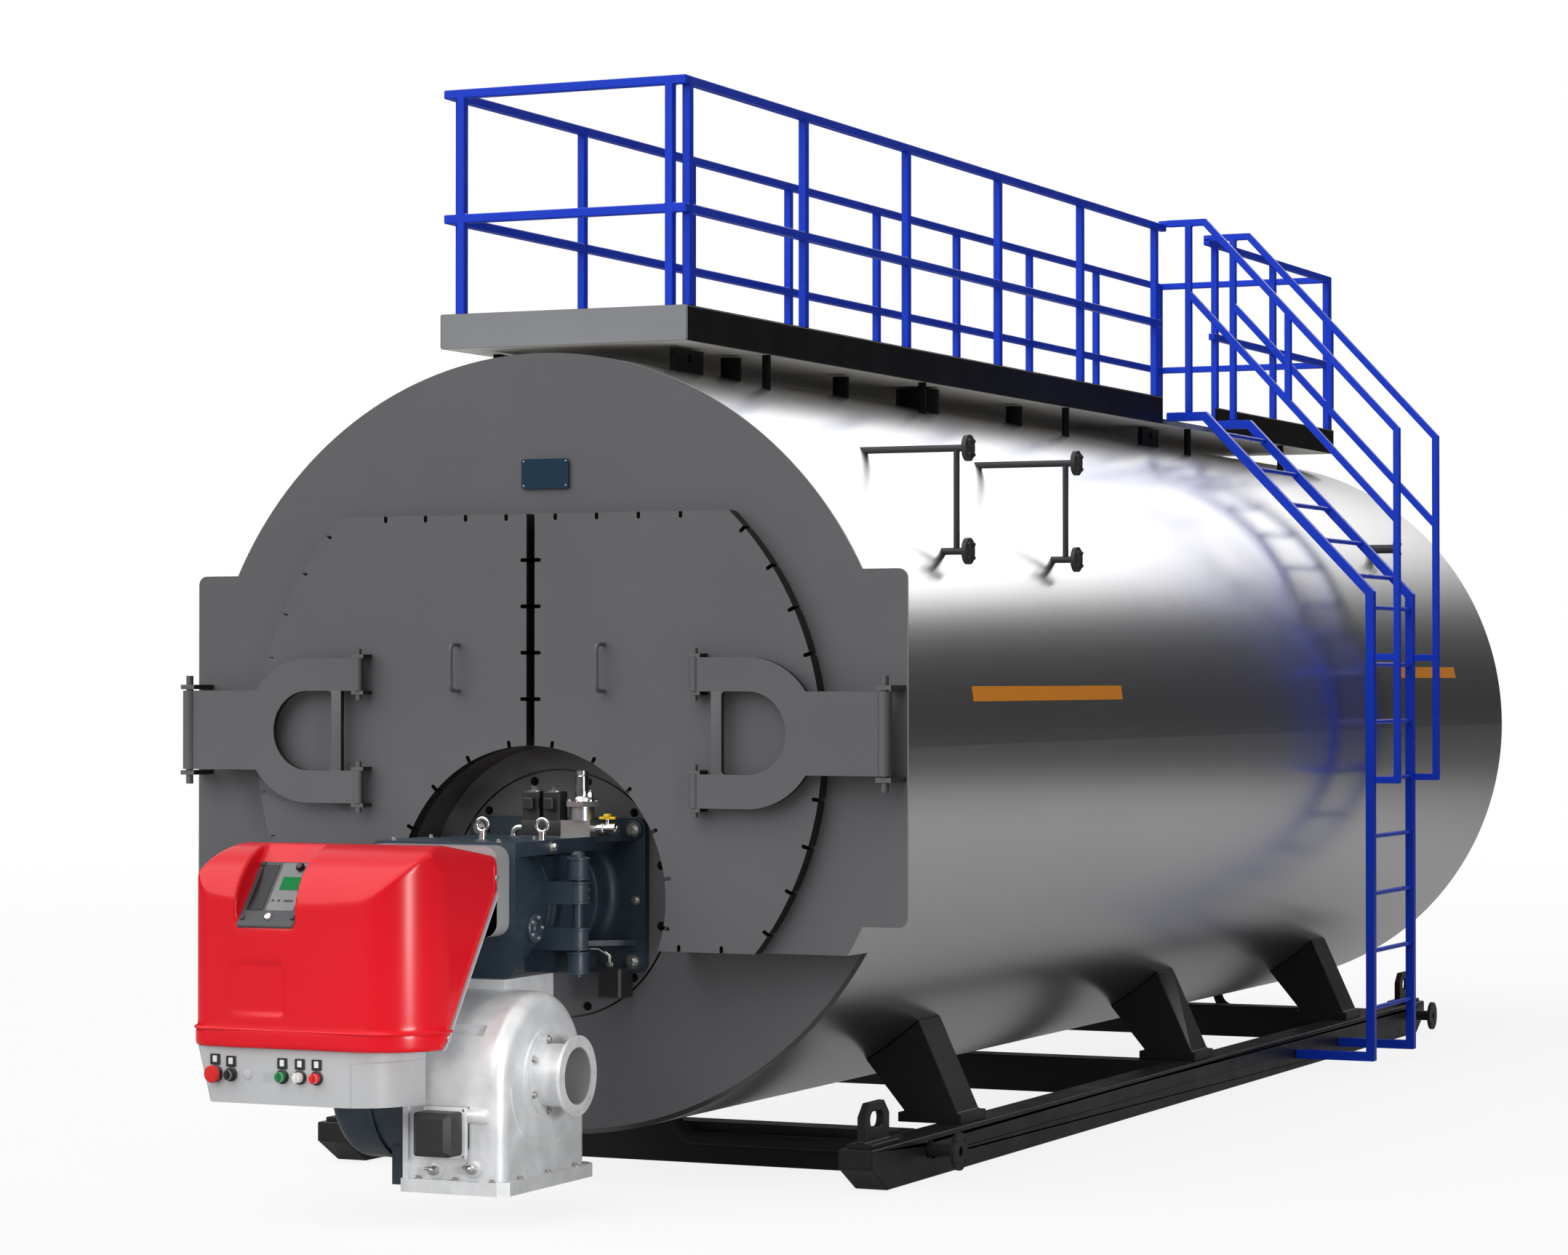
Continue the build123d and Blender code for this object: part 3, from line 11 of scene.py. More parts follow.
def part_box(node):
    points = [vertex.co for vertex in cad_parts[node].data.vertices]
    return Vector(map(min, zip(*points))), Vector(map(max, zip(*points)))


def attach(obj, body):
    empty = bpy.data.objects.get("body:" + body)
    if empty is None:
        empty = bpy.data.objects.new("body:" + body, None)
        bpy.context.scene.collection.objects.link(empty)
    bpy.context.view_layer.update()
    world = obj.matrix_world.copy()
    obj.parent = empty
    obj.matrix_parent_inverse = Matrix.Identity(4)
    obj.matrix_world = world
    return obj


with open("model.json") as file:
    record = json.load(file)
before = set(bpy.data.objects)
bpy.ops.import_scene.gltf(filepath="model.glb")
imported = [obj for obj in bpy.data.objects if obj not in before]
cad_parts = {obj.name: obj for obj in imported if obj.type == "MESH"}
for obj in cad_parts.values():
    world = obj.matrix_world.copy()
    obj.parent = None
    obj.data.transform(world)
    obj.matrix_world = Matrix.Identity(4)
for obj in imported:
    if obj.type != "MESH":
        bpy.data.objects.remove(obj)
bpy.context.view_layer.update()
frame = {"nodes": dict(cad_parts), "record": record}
nodes = frame["nodes"]

X = Vector((1, 0, 0))
Y = Vector((0, 1, 0))
Z = Vector((0, 0, 1))
FRONT = -Y


# Mesh helpers, in metres in the shared frame, with turned forms as (radius, height) pairs

CORNER_STEPS = 5
LEAST_CORNER = 0.0005
# Heads of bolts in parts of their width across flats, and of screws in parts of their radius
HEX = 1 / sqrt(3)
BOLT_WASHER = ((0, 0), (0.95, 0), (0.95, 0.12), (0, 0.12))
BOLT_HEAD = ((0, 0.12), (HEX, 0.12), (HEX, 0.66), (0.82 * HEX, 0.74), (0, 0.74))
SCREW_HEAD = ((1, 0), (1, 0.4), (0.8, 0.65), (0.45, 0.65), (0.45, 0.3), (0, 0.3))
# Knobs in parts of their radius and depth
KNOB_RINGS = ((0.86, 0), (1, 0.2), (1, 0.8), (0.8, 1))
KNOB_LOBE = 0.16
KNOB_STEPS = 60


def spaced(start, end, steps):
    """Evenly spaced values from start to end."""
    return [start + (end - start) * i / steps for i in range(steps + 1)]


def facing(origin, axis):
    """Matrix that puts local Z along axis at origin."""
    return Matrix.Translation(origin) @ Vector(axis).to_track_quat("Z", "Y").to_matrix().to_4x4()


def turned(radius, angle, height):
    """Point at a radius and an angle about local Z."""
    return Vector((radius * cos(angle), radius * sin(angle), height))


def join_rings(bm, rings):
    """Faces from each closed ring to the next, either of which may be a single point."""
    for low, high in zip(rings, rings[1:]):
        count = max(len(low), len(high))
        for i in range(count):
            j = (i + 1) % count
            if len(low) == 1:
                bm.faces.new((low[0], high[j], high[i]))
            elif len(high) == 1:
                bm.faces.new((low[i], low[j], high[0]))
            else:
                bm.faces.new((low[i], low[j], high[j], high[i]))


def close_rings(bm, rings):
    """Faces along a row of rings, with a flat face at both ends."""
    join_rings(bm, rings)
    bm.faces.new(rings[0][::-1])
    bm.faces.new(rings[-1])


def add_lathe(bm, origin, axis, profile, segments=24):
    """Turns a profile about an axis through origin."""
    place = facing(origin, axis)
    rings = []
    for radius, height in profile:
        count = segments if radius > 0 else 1
        points = [turned(radius, tau * i / segments, height) for i in range(count)]
        rings.append([bm.verts.new(place @ point) for point in points])
    join_rings(bm, rings)


def add_box(bm, low, high, bevel):
    """Box between two corners, with rounded edges."""
    low, high = Vector(low), Vector(high)
    matrix = Matrix.Translation((low + high) / 2) @ Matrix.Diagonal((high - low).to_4d())
    made = bmesh.ops.create_cube(bm, size=1, matrix=matrix)
    edges = dict.fromkeys(edge for vert in made["verts"] for edge in vert.link_edges)
    bmesh.ops.bevel(bm, geom=list(edges), offset=bevel, segments=2, profile=0.5, affect="EDGES")


def rounded(width, height, corner):
    """Points of a rectangle with rounded corners, anticlockwise."""
    points = []
    for k, (side, level) in enumerate(((1, 1), (-1, 1), (-1, -1), (1, -1))):
        for turn in spaced(k, k + 1, CORNER_STEPS):
            x = side * (width / 2 - corner) + corner * cos(turn * pi / 2)
            points.append((x, level * (height / 2 - corner) + corner * sin(turn * pi / 2)))
    return points


def add_plate(bm, place, width, height, depth, corner, bevel=0.0):
    """Plate with rounded corners, raised by depth along the place's Z and eased along its upper edge."""
    outline = rounded(width, height, corner)
    levels = [(outline, 0.0), (outline, depth - bevel)]
    if bevel:
        inner = rounded(width - 2 * bevel, height - 2 * bevel, max(corner - bevel, LEAST_CORNER))
        levels.append((inner, depth))
    close_rings(bm, [[bm.verts.new(place @ Vector((x, y, z))) for x, y in points] for points, z in levels])


def add_tube(bm, points, radius, segments=12):
    """Round bar along a path of points, with closed ends."""
    points = [Vector(p) for p in points]
    rings = []
    side = None
    for i, point in enumerate(points):
        ahead = points[min(i + 1, len(points) - 1)] - point
        behind = point - points[max(i - 1, 0)]
        along = (ahead.normalized() + behind.normalized()).normalized()
        if side is None:
            side = along.orthogonal().normalized()
        side = (side - along * side.dot(along)).normalized()
        up = along.cross(side)
        angles = [tau * k / segments for k in range(segments)]
        rings.append([bm.verts.new(point + radius * (cos(a) * side + sin(a) * up)) for a in angles])
    close_rings(bm, rings)


def scaled(profile, size):
    """Profile at a size."""
    return [(size * radius, size * height) for radius, height in profile]


def grown(profile, radius):
    """Profile whose radii are beyond another radius."""
    return [(radius + proud, height) for proud, height in profile]


def add_bolt(bm, origin, axis, across):
    """Hexagon bolt head on a washer."""
    add_lathe(bm, origin, axis, scaled(BOLT_WASHER, across), 20)
    add_lathe(bm, origin, axis, scaled(BOLT_HEAD, across), 6)


def add_bolt_circle(bm, centre, axis, radius, count, across, phase=0.0):
    """Bolt heads spaced evenly round a centre, about one of the frame's axes."""
    first, second = [turn for turn in (X, Y, Z) if not turn.dot(axis)]
    for i in range(count):
        angle = tau * (i + phase) / count
        add_bolt(bm, centre + radius * (cos(angle) * first + sin(angle) * second), axis, across)


def add_screw(bm, origin, axis, radius):
    """Low round screw head with a socket."""
    add_lathe(bm, origin, axis, scaled(SCREW_HEAD, radius), 16)


def add_lobed_knob(bm, origin, axis, radius, lobes, depth):
    """Hand knob with rounded lobes."""
    place = facing(origin, axis)
    rings = []
    for gain, level in KNOB_RINGS:
        ring = []
        for i in range(KNOB_STEPS):
            angle = tau * i / KNOB_STEPS
            reach = gain * radius * (1 + KNOB_LOBE * cos(lobes * angle))
            ring.append(bm.verts.new(place @ turned(reach, angle, level * depth)))
        rings.append(ring)
    close_rings(bm, rings)


def make(name, bm, body, slot, finish=None):
    """Turns a bmesh into a piece on a body, with sharp creases and its own or its slot's finish."""
    bmesh.ops.recalc_face_normals(bm, faces=bm.faces)
    mesh = bpy.data.meshes.new(name)
    bm.to_mesh(mesh)
    bm.free()
    mesh.shade_smooth()
    mesh.set_sharp_from_angle(angle=radians(35))
    mesh.materials.append(finish or finishes[slot])
    piece = bpy.data.objects.new(name, mesh)
    bpy.context.scene.collection.objects.link(piece)
    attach(piece, body)


# Finishes, made of nodes in the object's own coordinates

# The middle of a noise's range, and noises of blotches, gloss and grain as (scale, detail)
NOISE_RANGE = (0.3, 0.7)
PAINT_NOISES = ((1.6, 4), (5, 5))
PAINT_GRAIN_DETAIL = 2
PAINT_RELIEF = 0.25
METAL_NOISES = ((1.2, 4), (6, 6), (6, 4))
METAL_RELIEF = 0.2
CAST_NOISES = ((9, 5), (14, 5), (420, 3))
CAST_RELIEF = (0.45, 0.0012)
CAST_SHADES = (0.86, 1.12)
CAST_UNEVEN = (-0.06, 0.1)
LOOKS_DOWN = -0.5


def set_inputs(node, values):
    """Sets a node's inputs by their names, with underscores for spaces."""
    for socket, value in values.items():
        node.inputs[socket.replace("_", " ")].default_value = value


def new_material(name, **constants):
    """Material with a Principled shader, and its constants set on the shader's own sockets."""
    material = bpy.data.materials.new(name)
    material.use_nodes = True
    shader = material.node_tree.nodes["Principled BSDF"]
    set_inputs(shader, constants)
    return material, material.node_tree, shader


def add_node(tree, kind, **values):
    """Adds a shader node with the values of its inputs."""
    node = tree.nodes.new(kind)
    set_inputs(node, values)
    return node


def add_math(tree, operation, *terms):
    """Result of a Math node on terms that are numbers or other nodes' outputs."""
    node = add_node(tree, "ShaderNodeMath")
    node.operation = operation
    for socket, term in zip(node.inputs, terms):
        if isinstance(term, float):
            socket.default_value = term
        else:
            tree.links.new(term, socket)
    return node.outputs["Value"]


def noise(tree, scale, detail, stretch=(1, 1, 1)):
    """Noise over the object's own coordinates, stretched along its axes."""
    coords = add_node(tree, "ShaderNodeTexCoord")
    mapping = add_node(tree, "ShaderNodeMapping", Scale=stretch)
    texture = add_node(tree, "ShaderNodeTexNoise", Scale=scale, Detail=detail)
    tree.links.new(coords.outputs["Object"], mapping.inputs["Vector"])
    tree.links.new(mapping.outputs["Vector"], texture.inputs["Vector"])
    return texture.outputs["Fac"]


def tint(tree, factor, shader, colour, low, high):
    """Base colour that varies with a factor between a darker and a lighter shade of one colour."""
    ramp = add_node(tree, "ShaderNodeValToRGB")
    for stop, place, gain in zip(ramp.color_ramp.elements, NOISE_RANGE, (low, high)):
        stop.position = place
        stop.color = (*(min(gain * c, 1) for c in colour), 1)
    tree.links.new(factor, ramp.inputs["Fac"])
    tree.links.new(ramp.outputs["Color"], shader.inputs["Base Color"])


def roughen(tree, factor, shader, low, high):
    """Roughness that varies with a factor."""
    least, most = NOISE_RANGE
    scale = add_node(tree, "ShaderNodeMapRange", From_Min=least, From_Max=most, To_Min=low, To_Max=high)
    tree.links.new(factor, scale.inputs["Value"])
    tree.links.new(scale.outputs["Result"], shader.inputs["Roughness"])


def relief(tree, factor, shader, strength, distance):
    """Fine surface relief."""
    bump = add_node(tree, "ShaderNodeBump", Strength=strength, Distance=distance)
    tree.links.new(factor, bump.inputs["Height"])
    tree.links.new(bump.outputs["Normal"], shader.inputs["Normal"])


def paint(name, colour, roughness, mottle=0.08, uneven=0.06, grain=260, depth=0.0006, specular=0.5):
    """Sprayed paint or moulded plastic: soft mottling, uneven gloss and a fine orange-peel surface."""
    material, tree, shader = new_material(name, Specular_IOR_Level=specular)
    blotches, gloss = PAINT_NOISES
    tint(tree, noise(tree, *blotches), shader, colour, 1 - mottle, 1 + mottle)
    roughen(tree, noise(tree, *gloss), shader, roughness - uneven, roughness + uneven)
    relief(tree, noise(tree, grain, PAINT_GRAIN_DETAIL), shader, PAINT_RELIEF, depth)
    return material


def metal(name, colour, roughness, stretch, mottle=0.06, uneven=0.05, depth=0.0003):
    """Bare metal with brushed streaks across the stretched axis and uneven gloss."""
    material, tree, shader = new_material(name, Metallic=1.0)
    blotches, gloss, grain = METAL_NOISES
    tint(tree, noise(tree, *blotches), shader, colour, 1 - mottle, 1 + mottle)
    roughen(tree, noise(tree, *gloss, stretch), shader, roughness - uneven, roughness + uneven)
    relief(tree, noise(tree, *grain, stretch), shader, METAL_RELIEF, depth)
    return material


def casting(name, colour, roughness, metallic):
    """Sand-cast surface under thin paint: coarse grain and blotches."""
    material, tree, shader = new_material(name, Metallic=metallic)
    blotches, gloss, grain = CAST_NOISES
    tint(tree, noise(tree, *blotches), shader, colour, *CAST_SHADES)
    roughen(tree, noise(tree, *gloss), shader, *(roughness + step for step in CAST_UNEVEN))
    relief(tree, noise(tree, *grain), shader, *CAST_RELIEF)
    return material


def own_normal(tree, axis):
    """One part of the normal, in the object's own coordinates."""
    coords = add_node(tree, "ShaderNodeTexCoord")
    split = add_node(tree, "ShaderNodeSeparateXYZ")
    tree.links.new(coords.outputs["Normal"], split.inputs["Vector"])
    return split.outputs[axis]


def mix_shade(tree, factor, own_socket, other_socket, shade):
    """Mixes another shade into the base colour."""
    base = tree.nodes["Principled BSDF"].inputs["Base Color"]
    mix = add_node(tree, "ShaderNodeMixRGB", **{other_socket: (*shade, 1)})
    tree.links.new(factor, mix.inputs["Fac"])
    tree.links.new(base.links[0].from_socket, mix.inputs[own_socket])
    tree.links.new(mix.outputs["Color"], base)


def shade_by_facing(material, own_socket, other_socket, shade):
    """Mixes another shade into the faces that look along Y, or into the edges that don't; it paints shade
    and highlight by facing.
    """
    tree = material.node_tree
    mix_shade(tree, add_math(tree, "ABSOLUTE", own_normal(tree, "Y")), own_socket, other_socket, shade)


def paint_light_on_underside(material, shade):
    """Covers the faces of a metal that look down with a matt colour; on the deck it is a pale painted light.
    """
    tree = material.node_tree
    down = add_math(tree, "LESS_THAN", own_normal(tree, "Z"), LOOKS_DOWN)
    mix_shade(tree, down, "Color1", "Color2", shade)
    tree.links.new(add_math(tree, "SUBTRACT", 1.0, down), tree.nodes["Principled BSDF"].inputs["Metallic"])


def grey_paint(name, edge=None):
    """Satin grey, which may have another colour on a plate's narrow edges: painted shade when darker,
    painted highlight when lighter.
    """
    material = paint(name, (0.121, 0.122, 0.13), 0.5, mottle=0.03, specular=0.3)
    if edge:
        shade_by_facing(material, "Color2", "Color1", edge)
    return material


BLACK = (0.009, 0.0088, 0.0085)
RED = (0.72, 0.005, 0.015)
# Painted shade for the jacket's end faces, which look along Y
SHEET_END_PAINTED_SHADE = (0.13, 0.13, 0.13)
# Painted light: a pale colour for the deck's downward faces, standing in for light under the deck
DECK_UNDERSIDE_PAINTED_LIGHT = (0.8, 0.77, 0.72)
finishes = {
    "stainless": metal("stainless_sheet", (0.6, 0.6, 0.6), 0.25, (0.4, 30, 0.4), 0.015, 0.012, 0.00001),
    "grey_paint": grey_paint("grey_satin_paint"),
    "toe_grey": paint("toe_board_grey", (0.235, 0.24, 0.255), 0.42, mottle=0.04),
    "black_paint": paint("black_satin_paint", BLACK, 0.34, mottle=0.2, specular=0.08),
    "blue_paint": paint("blue_gloss_paint", (0.009, 0.05, 0.64), 0.3, mottle=0.05, specular=0.14),
    "deck_steel": metal("galvanised_deck", (0.33, 0.34, 0.35), 0.5, (8, 8, 8), mottle=0.2),
    "bare_steel": metal("heat_tinted_steel", (0.3, 0.28, 0.26), 0.5, (3, 9, 3), mottle=0.25),
    "casting": casting("enamelled_casting", (0.026, 0.042, 0.06), 0.36, 0.0),
    "cast_silver": casting("silver_painted_casting", (0.74, 0.75, 0.76), 0.36, 0.28),
    "cover_red": paint("red_moulding", RED, 0.26, 0.01, 0.01, 600, 0.0001, specular=0.32),
    "panel_grey": paint("light_grey_sheet", (0.48, 0.49, 0.5), 0.4, mottle=0.04),
    "servo_black": paint("black_plastic", (0.018, 0.019, 0.020), 0.45, mottle=0.15, grain=500),
}
# Painted shade: the jacket's faces that look along Y are darkened
shade_by_facing(finishes["stainless"], "Color1", "Color2", SHEET_END_PAINTED_SHADE)
# Painted light: the deck's downward faces lose their metal and take the pale colour
paint_light_on_underside(finishes["deck_steel"], DECK_UNDERSIDE_PAINTED_LIGHT)

# Finishes of single nodes and small pieces

chrome = metal("polished_steel", (0.78, 0.78, 0.77), 0.16, (6, 6, 6))
zinc = metal("zinc_plate", (0.55, 0.55, 0.53), 0.32, (9, 9, 9), mottle=0.15)
# Painted shade: doors, arms, brackets and the burner plate get near-black narrow edges where their side
# faces fall in shade
painted_shade_edges = grey_paint("grey_paint_painted_shade_edges", (0.012, 0.012, 0.013))
# Painted highlight: the front plate's narrow edges are a light grey, standing in for light along them
painted_highlight_edges = grey_paint("grey_paint_painted_highlight_edges", (0.5, 0.5, 0.49))
# Painted light: a lighter copy of the black paint, so the skid reads lighter than the other black parts
skid_paint_lit_copy = paint("skid_paint_lit_copy", (0.026, 0.0255, 0.0245), 0.36, mottle=0.1, specular=0.12)
# Painted light: a lighter copy of the black paint for the level columns, nozzle and their fasteners,
# standing in for highlights along them
pipe_paint_lit_copy = paint("pipe_paint_lit_copy", (0.052, 0.053, 0.057), 0.36, mottle=0.08, specular=0.2)
window_grey = paint("window_frame", (0.075, 0.078, 0.082), 0.42, specular=0.2)
instrument_grey = paint("instrument_grey", (0.24, 0.245, 0.25), 0.5, mottle=0.05, specular=0.15)
box_grey = paint("galvanised_box", (0.3, 0.305, 0.31), 0.38, mottle=0.1)
# Painted shade: a darker grey for the liner inside the intake, where the bore is in shade
liner_painted_shade = paint("liner_painted_shade", (0.27, 0.27, 0.26), 0.5, mottle=0.1)
dark_glass = paint("dark_glass", (0.016, 0.017, 0.019), 0.2, specular=0.2)
display_green = paint("display_green", (0.003, 0.2, 0.05), 0.45, 0.12, grain=900, specular=0.08)
yellow_plastic = paint("yellow_plastic", (0.78, 0.5, 0.01), 0.36)
plate_blue = paint("plate_blue", (0.012, 0.04, 0.075), 0.35, specular=0.2)
white_plastic = paint("white_plastic", (0.76, 0.76, 0.74), 0.32)
red_plastic = paint("red_plastic", (0.72, 0.01, 0.012), 0.28)
green_plastic = paint("green_plastic", (0.005, 0.22, 0.05), 0.28)
orange_paint = paint("orange_stripe", (0.97, 0.33, 0.014), 0.5, mottle=0.03, specular=0.1)

# The front plate gets painted highlight on its narrow edges
own_finishes = {"eye_bolts": chrome, "pilot_train": zinc, "front_plate": painted_highlight_edges}
# The level columns and nozzle take the painted-light copy of the black paint
for name in ("level_gauges", "side_nozzle"):
    own_finishes[name] = pipe_paint_lit_copy
# The skid parts take the lighter, painted-light copy of the black paint
for name in ("skid_beams", "cross_beams", "saddles", "skid_lugs", "blowdown_pipes"):
    own_finishes[name] = skid_paint_lit_copy
# Painted shade on the narrow edges of the doors, arms, hinge brackets and burner plate
for name in ("right_door", "left_door", "right_arm", "left_arm", "hinge_brackets", "burner_plate"):
    own_finishes[name] = painted_shade_edges


def finish_nodes():
    """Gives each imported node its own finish, or that of its material slot."""
    for part in frame["record"]["subparts"]:
        node = nodes[part["node"]]
        for slot in node.material_slots:
            slot.material = own_finishes.get(part["node"], finishes[part["material_slot"]])


finish_nodes()


# Edges that catch the light on beams, boards and rails

BEAM_EDGE = 0.008
RAIL_EDGE = 0.006
WELD_REACH = 0.0002
BEAMS = ("skid_beams", "cross_beams", "saddles", "skid_lugs", "toe_board_front", "toe_boards")
RAILS = ("rail_front", "rail_right", "rail_right_rear", "rail_left", "rail_rear", "stair_stringers",
         "handrail_near", "handrail_far")


def ease_edges(names, width):
    """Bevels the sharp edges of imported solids."""
    for name in names:
        nodes[name].modifiers.new("join", "WELD").merge_threshold = WELD_REACH
        bevel = nodes[name].modifiers.new("ease", "BEVEL")
        bevel.width = width
        bevel.segments = 2
        bevel.angle_limit = radians(50)
        bevel.harden_normals = True


ease_edges(BEAMS, BEAM_EDGE)
ease_edges(RAILS, RAIL_EDGE)


# Places on the boiler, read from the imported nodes

plate_low, plate_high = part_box("burner_plate")
flange_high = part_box("burner_flange")[1]
body_low, body_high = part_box("burner_body")
cover_low, cover_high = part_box("burner_cover")
tray_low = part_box("control_panel")[0]
fan_low, fan_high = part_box("fan_housing")
intake_low, intake_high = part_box("air_intake")
train_low, train_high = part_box("pilot_train")
servo_low, servo_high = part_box("servo")
switch_low, switch_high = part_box("pressure_switch")
jacket_low, jacket_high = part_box("jacket")
end_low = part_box("front_end_plate")[0]
BURNER_Z = (plate_low.z + plate_high.z) / 2
AXIS_Z = (jacket_low.z + jacket_high.z) / 2
JACKET_RADIUS = (jacket_high.z - jacket_low.z) / 2
DECK_TOP = train_low.z

# Below, bolt circles are (radius, count, width across flats), arcs are (first degree, last degree, steps)
# and plates are (width, height, depth, corner, bevel)


# Burner mount and the swinging casting

PLATE_BOLTS = (0.506, 12, 0.02)
FLANGE_THICKNESS = 0.04
FLANGE_BOLT_PLACES = [(x, z) for x in (-0.378, 0.378) for z in (-0.285, 0.285)]
FLANGE_BOSS = ((0.046, 0), (0.042, 0.012), (0.03, 0.014), (0, 0.014))
FLANGE_BOLT = 0.032
EDGE_BOLT_PLACE = Vector((0.385, 0, -0.02))
EDGE_BOLT = 0.022
NECK_RADIUS = 0.262
NECK_RIBS = (-4.80, -4.97, -5.19)
BODY_RIB = -5.236
RIB_RADIUS = 0.011
RIB_ARC = (-228, 48, 40)
HINGE = Vector((0.4, -5.24, 0))
KNUCKLE_RADIUS = 0.045
COLLAR = ((0, 0), (0.006, 0.002), (0.006, 0.01), (0, 0.012))
FIXED_KNUCKLES = ((1.369, 1.464), (0.974, 1.069))
MOVING_KNUCKLES = ((1.268, 1.363), (1.075, 1.170))
STAR_KNOB = Vector((0.255, -4.95, 1.296))
STAR_REACH = 0.036
STAR = {"radius": 0.032, "lobes": 6, "depth": 0.024}
SWITCH_PIPE_INSET = 0.03
SWITCH_PIPE = ((0, 0), (0, 0.05), (-0.05, 0.08), (-0.11, 0.08))
SWITCH_PIPE_RADIUS = 0.008
HATCH_PLACE = Vector((0.262, -5.42, -0.1))
HATCH = ((0.062, 0), (0.062, 0.034), (0.056, 0.04), (0.03, 0.04), (0.024, 0.046), (0, 0.046))
HATCH_LEDGE = 0.04
HATCH_BOLTS = (0.045, 5, 0.012)
LATCH_PLACE = Vector((-0.145, -5.28, -0.03))
LATCH_BOLT = 0.03
DECK_BOLT_XS = (-0.3, 0.2)
DECK_BOLT_INSET = 0.04
DECK_BOLT_Y = -5.25
DECK_BOLT = 0.016


def add_rib(bm, y):
    """Round bead along the neck, from the deck's left edge down and round to its right edge."""
    angles = [radians(a) for a in spaced(*RIB_ARC)]
    path = [(NECK_RADIUS * cos(a), y, BURNER_Z + NECK_RADIUS * sin(a)) for a in angles]
    add_tube(bm, path, RIB_RADIUS, 8)


def add_collars(bm, spans):
    """Thin raised collars at both ends of the hinge knuckles."""
    for low, high in spans:
        for z in (low, high - COLLAR[-1][1]):
            add_lathe(bm, HINGE + z * Z, Z, grown(COLLAR, KNUCKLE_RADIUS), 28)


def dress_burner_mount():
    """Bolts of the burner plate and flange, ribs on the neck, hinge collars, hand knob and switch pipe."""
    bm = bmesh.new()
    add_bolt_circle(bm, Vector((0, plate_low.y, BURNER_Z)), FRONT, *PLATE_BOLTS, phase=0.5)
    make("burner_plate_bolts", bm, "boiler", "black_paint")

    face = Vector((0, flange_high.y - FLANGE_THICKNESS, BURNER_Z))
    bosses, bolts = bmesh.new(), bmesh.new()
    for x, z in FLANGE_BOLT_PLACES:
        place = face + Vector((x, 0, z))
        add_lathe(bosses, place, FRONT, FLANGE_BOSS, 32)
        add_bolt(bolts, place + FLANGE_BOSS[-1][1] * FRONT, FRONT, FLANGE_BOLT)
    add_bolt(bolts, face + EDGE_BOLT_PLACE, FRONT, EDGE_BOLT)
    for y in NECK_RIBS:
        add_rib(bosses, y)
    add_collars(bosses, FIXED_KNUCKLES)
    cap = ((0.03, 0), (0.03, 0.012), (0.02, 0.022), (0, 0.024))
    add_lathe(bosses, HINGE + FIXED_KNUCKLES[0][1] * Z, Z, cap)
    make("mount_ribs_and_bosses", bosses, "boiler", "casting")
    make("flange_bolts", bolts, "boiler", "cast_silver", zinc)

    bm = bmesh.new()
    add_lathe(bm, STAR_KNOB, X, ((0.012, 0), (0.012, 0.04), (0, 0.04)), 16)
    add_lobed_knob(bm, STAR_KNOB + STAR_REACH * X, X, **STAR)
    make("star_knob", bm, "boiler", "servo_black")

    bm = bmesh.new()
    start = Vector((switch_low.x + SWITCH_PIPE_INSET, (switch_low.y + switch_high.y) / 2, switch_high.z))
    add_tube(bm, [start + Vector((x, 0, z)) for x, z in SWITCH_PIPE], SWITCH_PIPE_RADIUS)
    add_lathe(bm, start, Z, ((0.016, 0), (0.016, 0.02), (0.008, 0.022)), 6)
    make("switch_pipe", bm, "boiler", "cast_silver", chrome)


def dress_burner_body():
    """Ribs, collars, a round cover and bolts on the swinging casting."""
    castings, bolts = bmesh.new(), bmesh.new()
    add_rib(castings, BODY_RIB)
    add_collars(castings, MOVING_KNUCKLES)
    cover = HATCH_PLACE + BURNER_Z * Z
    add_lathe(castings, cover, X, HATCH, 36)
    add_bolt_circle(bolts, cover + HATCH_LEDGE * X, X, *HATCH_BOLTS)
    add_bolt(bolts, Vector((body_high.x, 0, DECK_TOP)) + LATCH_PLACE, X, LATCH_BOLT)
    for x in DECK_BOLT_XS:
        for y in (body_low.y + DECK_BOLT_INSET, DECK_BOLT_Y):
            add_bolt(bolts, Vector((x, y, DECK_TOP)), Z, DECK_BOLT)
    make("body_ribs_and_cover", castings, "burner", "casting")
    make("body_bolts", bolts, "burner", "cast_silver", zinc)


# Pilot gas train

SOLENOIDS = (0.014, 0.113)
TRAIN_BLOCK = 0.07
VALVE_BLOCK = Vector((0.047, 0.041, 0))
VALVE_BLOCK_PROUD = 0.002
VALVE_BLOCK_EDGE = 0.006
COIL = (0.084, 0.084, 0.122, 0.012, 0.005)
COIL_PLUG_PLACE = Vector((0, -0.042, 0.07))
COIL_PLUG = (0.046, 0.05, 0.03, 0.006, 0.004)
COIL_NUT = 0.03
REGULATOR_X = 0.243
REGULATOR_TOP = 0.082
REGULATOR_BOLTS = (0.058, 6, 0.013)
SPRING_CAP = ((0.04, 0), (0.036, 0.016), (0.03, 0.02), (0.03, 0.106), (0.024, 0.112), (0.024, 0.128),
              (0, 0.13))
VENT_PLACE = Vector((0.05, -0.02, 0))
VENT = ((0.014, 0), (0.014, 0.03), (0.01, 0.036), (0.01, 0.048), (0, 0.05))
VALVE_INSET = 0.1
VALVE = ((0.017, 0), (0.026, 0.006), (0.026, 0.03), (0.02, 0.036), (0.02, 0.06), (0.026, 0.066),
         (0.026, 0.09), (0.018, 0.096))
STEM_PLACE = Vector((-0.052, 0, 0.018))
# The handle's boxes as lower corner, upper corner and edge
HANDLE = (((-0.038, -0.011, 0.022), (0.038, 0.011, 0.034), 0.004),
          ((-0.014, -0.016, 0.03), (0.014, 0.016, 0.046), 0.005))


